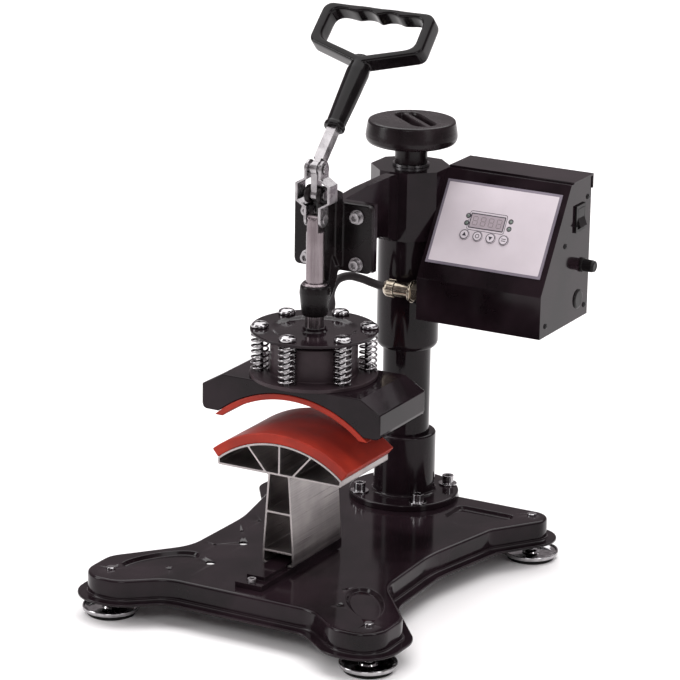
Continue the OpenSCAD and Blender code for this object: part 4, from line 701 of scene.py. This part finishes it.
BOLT_COUNT, BOLT_CIRCLE, FIRST_BOLT = 6, 57.7, 30
SPRING_TURNS, COIL_R, WIRE_R, SEAT_GAP = 7.5, 8.9, 1.15, 0.1
CLOSING, CLOSING_SHARE = 0.62, 0.07


def make_springs():
    """Coil springs: x = r cos a, y = r sin a, with the pitch closing up in the end turns."""
    a = np.linspace(0, 2 * np.pi * SPRING_TURNS, int(SPRING_TURNS * 30) + 1)
    share = a / a[-1]
    ends = np.exp(-(share / CLOSING_SHARE) ** 2) + np.exp(-((1 - share) / CLOSING_SHARE) ** 2)
    rate = 1 - CLOSING * ends
    climb = np.concatenate([[0], np.cumsum((rate[1:] + rate[:-1]) / 2)])
    low, high = SPRING_LOW + SEAT_GAP + WIRE_R, PLATE_TOP - PLATE_T - SEAT_GAP - WIRE_R
    coil = np.stack([COIL_R * np.cos(a), COIL_R * np.sin(a), low + (high - low) * climb / climb[-1]], -1)
    meshes = []
    for k in range(BOLT_COUNT):
        t = math.radians(FIRST_BOLT + 360 / BOLT_COUNT * k)
        centre = np.array([BOLT_CIRCLE * math.cos(t), PRESS_Y + BOLT_CIRCLE * math.sin(t), 0])
        meshes.append(rings_mesh("spring", tube_rings(coil + centre, WIRE_R, 10)))
    obj = piece(joined("head_coil_springs", meshes), "spring", "plunger", ("head_springs",))
    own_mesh(obj)


LEAD_TURN = math.radians(110)
LEAD_ROUTE = [
    (-4, -47.5, 305), (-12, -48, 306), (-20, -51.5, 309), (-27.5, -61, 314.5), (-34, -76, 320),
    (-38, -93, 320), (-37, -108, 315), (-33, -120, 308.5), (-27, -129, 301.5), (-26, -136, 289),
    (-27, -139, 280), (-26.5, -142.5, 271), (-24, -149, 265.5)] + [
        (r * math.cos(LEAD_TURN), PRESS_Y + r * math.sin(LEAD_TURN), 264.3) for r in (58, 52.5, 47.3)]
LEAD_R = 4.65


def make_lead():
    """Heater lead: a round tube along its solid's route, with a UV map in millimetres for its braid."""
    path = smooth_route(LEAD_ROUTE, 8)
    rings = tube_rings(path, LEAD_R, 24)
    mesh = rings_mesh("heater_lead_sleeve", rings)
    m, n = rings.shape[:2]
    run = np.concatenate([[0], np.cumsum(np.linalg.norm(np.diff(path, axis=0), axis=1))])
    layer = mesh.uv_layers.new(name="UVMap")
    loops = np.zeros(len(mesh.loops), int)
    mesh.loops.foreach_get("vertex_index", loops)
    row, col = loops // n, loops % n
    corner = np.arange(len(loops)) % 4
    on_band = np.arange(len(loops)) // 4 * 4 < 4 * (m - 1) * n
    u = np.where(on_band & (col == 0) & ((corner == 1) | (corner == 2)), 1.0, col / n)
    layer.data.foreach_set("uv", np.stack([run[row], u * 2 * np.pi * LEAD_R], -1).ravel())
    obj = piece(mesh, "lead", None, ("heater_lead",), tidy=False)
    mesh.polygons.foreach_set("use_smooth", np.ones(len(mesh.polygons), bool))
    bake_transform(obj)


# ---------------------------------------------------------------- knob and grip

KNOB_H, KNOB_TURN, WELL_HALF, WELL_R, WELL_DEPTH, WELL_EDGE, WELL_AT = 48, -40, 23, 13, 8.6, 0.45, 4
KNOB_BAR_AT, KNOB_BAR_HALF, KNOB_BAR_HIGH = 3.4, 4.2, 7.0


def make_knob():
    """Moulded knob: a turned body; its top is a polar height field with an oval finger well and a bar."""
    side = fillet([
        (9.0, 0), (18, 0, 0.6), (18, 19, 3), (23, 21.2, 3), (44, 21.6, 3), (48, 23.2, 3), (50.1, 26, 4),
        (51.0, 30, 6), (50.4, 35, 8), (48.6, 45.8, 2), (47.7, 47.3, 0.7), (45.8, KNOB_H)], 6)
    centre = np.array([0, 0, KNOB_Z])
    rings = list(turned(side, centre, 256))
    a = np.linspace(0, 2 * np.pi, 256, endpoint=False)
    turn = math.radians(KNOB_TURN)
    for r in np.linspace(45.2, 0.4, 80):
        x, y = r * np.cos(a), r * np.sin(a)
        u, v = x * math.cos(turn) + y * math.sin(turn), -x * math.sin(turn) + y * math.cos(turn) - WELL_AT
        far = np.hypot(np.maximum(np.abs(u) - WELL_HALF, 0), v) - WELL_R
        well = 1 / (1 + np.exp(np.clip(far / WELL_EDGE, -40, 40)))
        bar = np.exp(-((v - KNOB_BAR_AT) / KNOB_BAR_HALF) ** 6)
        z = KNOB_H - WELL_DEPTH * well + KNOB_BAR_HIGH * well * bar
        rings.append(np.stack([x, y, z], -1) + centre)
    piece(rings_mesh("height_knob_moulding", rings), "knob", "knob", ("height_knob",), sharp=70)


def lever_place(x, s, n):
    """Lever drawing to the frame's: x across, s along the lever from the link pin, n out of its face."""
    x, s, n = np.broadcast_arrays(x, s, n)
    return np.stack([
        x, PRESS_Y + s * math.sin(LEAN) - n * math.cos(LEAN),
        LINK_Z + s * math.cos(LEAN) + n * math.sin(LEAN)], -1)


def ray_hits(outline, centre, directions):
    """Distance from centre to a star-shaped outline along each direction."""
    a = outline - centre
    b = np.roll(a, -1, 0) - a
    d = directions[:, None, :]
    cross = d[..., 0] * b[:, 1] - d[..., 1] * b[:, 0]
    with np.errstate(divide="ignore", invalid="ignore"):
        t = (a[:, 0] * b[:, 1] - a[:, 1] * b[:, 0]) / cross
        k = (a[:, 0] * d[..., 1] - a[:, 1] * d[..., 0]) / cross
    t = np.where((k >= -1e-9) & (k <= 1 + 1e-9) & (t > 0), t, np.inf)
    return t.min(1)


SCALLOP_PITCH, SCALLOP_R, SCALLOP_S, GRIP_HALF_T, SQUARENESS = 28.5, 22.0, 172.5, 10.7, 0.36


def make_grip():
    """Moulded grip: a loop with a rounded box section between an outer outline and the scalloped hole."""
    outer = rounded([(0, 128.5, 12), (68, 150, 9), (67, 200.4, 10), (-67, 200.4, 10), (-68, 150, 9)], 10)
    a = np.linspace(0, 2 * np.pi, 721)[:-1]
    x = np.linspace(-56, 56, 225)
    k = np.clip(np.floor(x / SCALLOP_PITCH) + 0.5, -1.5, 1.5) * SCALLOP_PITCH
    scallops = np.stack([x, SCALLOP_S + np.sqrt(np.maximum(SCALLOP_R ** 2 - (x - k) ** 2, 0))], -1)
    low = fillet([(56, SCALLOP_S), (57, 155.5, 5), (0, 138, 8), (-57, 155.5, 5), (-56, SCALLOP_S)], 8)
    hole = np.vstack([scallops, low])
    centre = np.array([0, 168.0])
    aim = np.stack([np.cos(a), np.sin(a)], -1)
    far, near = ray_hits(outer, centre, aim), ray_hits(hole, centre, aim)
    soft = np.exp(-(np.arange(-26, 27) / 13) ** 2)
    near = np.convolve(np.pad(near, 26, mode="wrap"), soft / soft.sum(), mode="valid")
    mid, half = (far + near) / 2, (far - near) / 2
    rings = []
    for t in np.linspace(0, 2 * np.pi, 28, endpoint=False):
        c = np.sign(math.cos(t)) * abs(math.cos(t)) ** SQUARENESS
        s = np.sign(math.sin(t)) * abs(math.sin(t)) ** SQUARENESS
        p = centre + aim * (mid + half * c)[:, None]
        rings.append(lever_place(p[:, 0], p[:, 1], GRIP_HALF_T * s))
    loop = rings_mesh("loop", rings, join_ends=True, caps=(False, False))
    stem = fillet([
        (0.4, 50), (11.6, 50, 1.6), (11.6, 55, 1.2), (10.4, 56.5, 1.5), (11.6, 88, 30), (12.8, 122, 10),
        (9.8, 141)], 8)
    b = np.linspace(0, 2 * np.pi, 48, endpoint=False)
    shank = rings_mesh("shank", [lever_place(r * np.cos(b), s, min(r, 12.2) * np.sin(b)) for r, s in stem])
    obj = piece(joined("moulded_hand_grip", [loop, shank]), "grip", "lever", ("handle_grip",))
    relax(obj, 0.8, 5)


# ---------------------------------------------------------------- control panel

def panel_place(u, v, w):
    """Panel drawing to the frame drawing: u across, v up the slope, w out of the face."""
    u, v, w = np.broadcast_arrays(np.asarray(u, float), v, w)
    return np.stack([
        BOX_X0 + u, BOX_Y0 + v * math.cos(SLOPE) - w * math.sin(SLOPE),
        BOX_Z0 + BOX_FRONT_H + v * math.sin(SLOPE) + w * math.cos(SLOPE)], -1)


def plate(name, outline, low, high):
    """A flat shape on the panel from height low to high."""
    outline = np.asarray(outline, float)
    return rings_mesh(name, [panel_place(outline[:, 0], outline[:, 1], w) for w in (low, high)])


def ring_plate(name, outer, inner, low, high):
    """A flat frame on the panel between two outlines with the same number of points."""
    section = ((inner, low), (inner, high), (outer, high), (outer, low))
    rings = [panel_place(o[:, 0], o[:, 1], w) for o, w in section]
    return rings_mesh(name, rings, join_ends=True)


def box_outline(x0, y0, x1, y1, r, n=5):
    return rounded([(x0, y0, r), (x1, y0, r), (x1, y1, r), (x0, y1, r)], n)


PRINT_LOW, PRINT_HIGH, GLASS_TOP, BUTTON_TOP = 1.2, 1.32, 1.5, 2.8
SHEET_U, SHEET_V, SHEET_W, SHEET_H, MARGIN = 4.9, 19.4, 138.6, 97.6, 3.0
WINDOW = (44.9, 65.85, 84.9, 81.35)
LAMPS = ((41, 69.8), (41, 78.3), (92.4, 69.8), (92.4, 78.3))
BUTTON_U, BUTTON_V, BUTTON_PITCH, BUTTON_R = 42.6, 56.3, 15.8, 5.6
DIGIT_U, DIGIT_W, DIGIT_H, BAR_T, BAR_GAP = (50.6, 60.2, 69.8, 79.4), 5.4, 9.6, 0.9, 0.5


def bar_outline(u, v, length, thick, upright):
    """A display segment: a bar with pointed ends."""
    k, t = length / 2, thick / 2
    p = np.array([(-k, 0), (-k + t, -t), (k - t, -t), (k, 0), (k - t, t), (-k + t, t)])
    return (p[:, ::-1] if upright else p) + [u, v]


def make_panel():
    """White print inside a clear margin, with rings round the lamps, signs on the buttons and a display."""
    u0, v0, u1, v1 = SHEET_U, SHEET_V, SHEET_U + SHEET_W, SHEET_V + SHEET_H
    edge = box_outline(u0 + MARGIN, v0 + MARGIN, u1 - MARGIN, v1 - MARGIN, 1.0)
    x0, y0, x1, y1 = WINDOW
    holes = [box_outline(x0, y0, x1, y1, 0.3), *[circle(u, v, 1.95) for u, v in LAMPS]]
    holes += [circle(BUTTON_U + BUTTON_PITCH * i, BUTTON_V, BUTTON_R + 0.3) for i in range(4)]
    face = flat_with_holes("face", edge, holes, lambda u, v: panel_place(u, v, PRINT_HIGH))
    skirts = [rings_mesh("skirt", [panel_place(o[:, 0], o[:, 1], w) for w in (PRINT_LOW, PRINT_HIGH)],
                         caps=(False, False)) for o in [edge] + holes]
    piece(joined("white_panel_print", [face] + skirts), "panel", "arm")
    low, high = PRINT_HIGH, PRINT_HIGH + 0.05
    marks = [
        ring_plate("border", box_outline(42.3, 62.4, 87.5, 84.8, 2.8),
                   box_outline(42.9, 63.0, 86.9, 84.2, 2.3), low, high),
        ring_plate("frame", box_outline(x0 - 1.0, y0 - 1.0, x1 + 1.0, y1 + 1.0, 0.9),
                   box_outline(x0 + 0.1, y0 + 0.1, x1 - 0.1, y1 - 0.1, 0.4), low, high)]
    for u, v in LAMPS:
        marks.append(ring_plate("ring", circle(u, v, 3.0), circle(u, v, 2.0), low, high))
    piece(joined("panel_printed_lines", marks), "ink", "arm")
    bars, middle = [], (y0 + y1) / 2
    for u in DIGIT_U:
        bars += [bar_outline(u, middle + k * DIGIT_H / 2, DIGIT_W - BAR_GAP, BAR_T, False)
                 for k in (-1, 0, 1)]
        bars += [bar_outline(u + i * DIGIT_W / 2, middle + k * DIGIT_H / 4, DIGIT_H / 2 - BAR_GAP, BAR_T,
                             True) for i in (-1, 1) for k in (-1, 1)]
    bars = [plate("bar", b, GLASS_TOP, GLASS_TOP + 0.03) for b in bars]
    piece(joined("display_segment_bars", bars), "segment", "arm")
    for i in range(4):
        u, v = BUTTON_U + BUTTON_PITCH * i, BUTTON_V
        low, high = BUTTON_TOP, BUTTON_TOP + 0.04
        signs = [ring_plate("ring", circle(u, v, 5.45), circle(u, v, 4.6), low, high)]
        if i == 0:
            signs.append(plate("up", [(u - 2.5, v - 1.6), (u + 2.5, v - 1.6), (u, v + 2.7)], low, high))
        elif i == 2:
            signs.append(plate("down", [(u + 2.5, v + 1.6), (u - 2.5, v + 1.6), (u, v - 2.7)], low, high))
        elif i == 1:
            signs.append(ring_plate("set", circle(u, v, 2.5), circle(u, v, 1.7), low, high))
        else:
            signs += [plate("bar", box_outline(u - 2.8, v + k - 0.45, u + 2.8, v + k + 0.45, 0.4), low, high)
                      for k in (-1.1, 1.1)]
        piece(joined("button_sign_%d" % (i + 1), signs), "ink", "push_%d" % (i + 1))


def make_fuse_cap():
    """Fuse cap: a turned cap along x with ribs, radius + depth cos(ribs a), that fade out at its ends."""
    low, high = (np.array(v) * 1000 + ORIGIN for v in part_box("fuse_cap"))
    centre = np.array([0, (low[1] + high[1]) / 2, (low[2] + high[2]) / 2])
    r, x0, x1 = (high[1] - low[1]) / 2, low[0], high[0]
    side = fillet([
        (0.3, x0), (r - 0.6, x0, 0.4), (r - 0.2, x0 + 1.0, 0.6), (r - 0.2, x1 - 3.5, 2),
        (r - 1.0, x1 - 0.5, 1.2), (r - 2.6, x1, 0.8), (r - 2.8, x1 - 0.7, 0.2), (0.3, x1 - 0.7)], 6)
    a = np.linspace(0, 2 * np.pi, 192, endpoint=False)
    fade = np.clip((side[:, 1] - x0 - 1.5) / 1.5, 0, 1) * np.clip((x1 - 3.0 - side[:, 1]) / 1.5, 0, 1)
    rings = turned(side, centre, 192, "x")
    out = rings - centre
    grow = 1 + (fade * 0.35 / np.maximum(side[:, 0], 1))[:, None] * (np.cos(20 * a) - 1)[None, :]
    out[..., 1:] *= grow[..., None]
    piece(rings_mesh("ribbed_fuse_cap", out + centre), "fitting", "cap", ("fuse_cap",), sharp=50)


# ---------------------------------------------------------------- CAD solids that keep their shape

MACHINED = [
    ("platen_rail", "slide_rail", "enamel", 0.7), ("rail_screws", "rail_cap_screws", "zinc", 0.25),
    ("column_foot", "column_socket", "enamel", 0.8), ("flange_bolts", "column_socket_bolts", "chrome", 0.4),
    ("column_tube", "inner_column", "enamel", 0.6), ("foot_nuts", "foot_lock_nuts", "zinc", 0.5),
    ("thrust_washer", "thrust_washer_ring", "thrust", 0.3),
    ("height_screw", "height_screw_bar", "rod", 0.4), ("knob_set_screw", "knob_grub_screw", "oxide", 0.2),
    ("swing_arm", "welded_swing_arm", "enamel", 1.4), ("arm_set_screw", "arm_grub_screw", "oxide", 0.2),
    ("clamp_bolts", "clamp_cap_screws", "zinc", 0.35), ("guide_bush", "plated_guide_bush", "rod", 0.2),
    ("fulcrum_pin", "fulcrum_rivet", "zinc", 0.4), ("control_case", "folded_control_case", "enamel", 1.1),
    ("case_lid", "folded_case_lid", "enamel", 0.8), ("control_panel", "clear_panel_plate", "acrylic", 0.3),
    ("display_window", "display_glass_window", "display", 0.3),
    ("indicator_lamps", "indicator_lenses", "lamp", 0.0),
    ("rocker_bezel", "rocker_frame", "fitting", 0.5), ("fuse_holder", "fuse_holder_body", "fitting", 0.4),
    ("blanking_plug", "case_blanking_plug", "fitting", 0.4),
    ("case_screws", "case_side_screws", "oxide", 0.15),
    ("lead_gland", "lead_gland_body", "nickel", 0.4), ("gland_cap", "lead_gland_nut", "nickel", 0.3),
    ("mains_gland", "mains_inlet_gland", "fitting", 0.5), ("circuit_board", "controller_board", "board", 0.2),
    ("button_1", "push_button_1", "button", 0.4), ("button_2", "push_button_2", "button", 0.4),
    ("button_3", "push_button_3", "button", 0.4), ("button_4", "push_button_4", "button", 0.4),
    ("rocker_switch", "rocker_paddle", "fitting", 0.5),
    ("toggle_lever", "forged_toggle_lever", "zinc", 0.9), ("link_pin", "link_rivet_top", "zinc", 0.4),
    ("link_plates", "bent_link_plates", "zinc", 0.6), ("link_rivets", "link_rivets_low", "zinc", 0.4),
    ("plunger_rod", "ground_plunger_rod", "rod", 0.5), ("spring_plate", "round_spring_plate", "enamel", 0.5),
    ("spring_bolts", "sprung_head_bolts", "chrome", 0.4), ("head_drum", "head_drum_shell", "drum", 0.6),
    ("head_housing", "folded_head_housing", "enamel", 1.0),
    ("upper_platen", "cast_heating_platen", "platen", 0.6),
]

# ---------------------------------------------------------------- studio

def make_studio():
    """Pale sweep, three soft boxes and a pale room; the camera stands where the photograph was taken from."""
    size = 9.0
    mesh = bpy.data.meshes.new("studio_floor")
    corners = [(-size, -size, 0), (size, -size, 0), (size, size, 0), (-size, size, 0)]
    mesh.from_pydata(corners, [], [(0, 1, 2, 3)])
    mat, tree, place = blank("pale_studio_paper")
    cloud = add(tree, "TexNoise", {"Scale": 1.3}, {"Vector": place}).outputs["Fac"]
    tone = add(
        tree, "ValToRGB", {"stops": [(0.3, colour("f7f6f6")), (0.7, colour("fdfcfc"))]}, {"Fac": cloud})
    shader = add(tree, "BsdfPrincipled", {"Roughness": 0.7, "Specular IOR Level": 0.2}, {
        "Base Color": tone.outputs["Color"]})
    add(tree, "OutputMaterial", {}, {"Surface": shader.outputs[0]})
    mesh.materials.append(mat)
    floor = bpy.data.objects.new("studio_floor", mesh)
    bpy.context.scene.collection.objects.link(floor)
    for name, place, aim, wide, high, power in (
            ("top_box", (-0.6, 2.2, 4.0), (-0.6, 2.2, 0), 7.0, 8.0, 400.0),
            ("left_box", (-2.1, -1.5, 1.3), (0, 0, 0.3), 0.8, 1.6, 26.0),
            ("right_box", (2.3, -0.7, 1.5), (0, 0, 0.3), 0.5, 1.7, 12.0),
            ("front_box", (0.9, -3.0, 2.2), (0, 0, 0.2), 1.2, 0.8, 22.0)):
        light = bpy.data.lights.new(name, "AREA")
        light.shape, light.size, light.size_y, light.energy = "RECTANGLE", wide, high, power
        lamp = bpy.data.objects.new(name, light)
        lamp.location = place
        lamp.rotation_euler = (Vector(place) - Vector(aim)).to_track_quat("Z", "Y").to_euler()
        lamp.visible_camera = False
        bpy.context.scene.collection.objects.link(lamp)
    world = bpy.data.worlds.new("pale_room")
    world.use_nodes = True
    world.node_tree.nodes["Background"].inputs["Color"].default_value = colour("fff4f8")
    world.node_tree.nodes["Background"].inputs["Strength"].default_value = 0.3
    bpy.context.scene.world = world
    bpy.context.scene.view_settings.view_transform = "Standard"


def make_camera():
    """Camera fitted to the photograph: azimuth, elevation and roll in degrees, distances in millimetres."""
    az, el, roll = (math.radians(v) for v in (28.50, 17.00, 0.93))
    across, up_to, away, focal_px, frame_px = -75.19, 230.79, 3834.91, 3422.86, 680
    forward = np.array([-math.sin(az) * math.cos(el), math.cos(az) * math.cos(el), -math.sin(el)])
    right = np.array([math.cos(az), math.sin(az), 0])
    up = np.cross(right, forward)
    tilted_right = right * math.cos(roll) + up * math.sin(roll)
    tilted_up = -right * math.sin(roll) + up * math.cos(roll)
    eye = right * across + np.array([0, 0, up_to]) - forward * away
    data = bpy.data.cameras.new("photo_camera")
    data.sensor_width = 36.0
    data.lens = data.sensor_width * focal_px / frame_px
    data.clip_start, data.clip_end = 0.1, 60.0
    camera = bpy.data.objects.new("photo_camera", data)
    turn = np.eye(4)
    turn[:3, 0], turn[:3, 1], turn[:3, 2], turn[:3, 3] = tilted_right, tilted_up, -forward, metres(eye)
    camera.matrix_world = Matrix(turn.tolist())
    bpy.context.scene.collection.objects.link(camera)
    bpy.context.scene.camera = camera


make_studio()
make_camera()
make_lead()
make_base()
make_feet()
make_platen()
make_pads()
make_springs()
make_knob()
make_grip()
make_panel()
make_fuse_cap()
for node, name, finish, edge in MACHINED:
    machined(node, name, finish, edge)
cast("clamp_body", "cast_clamp_body", "casting", 0.9, 6)
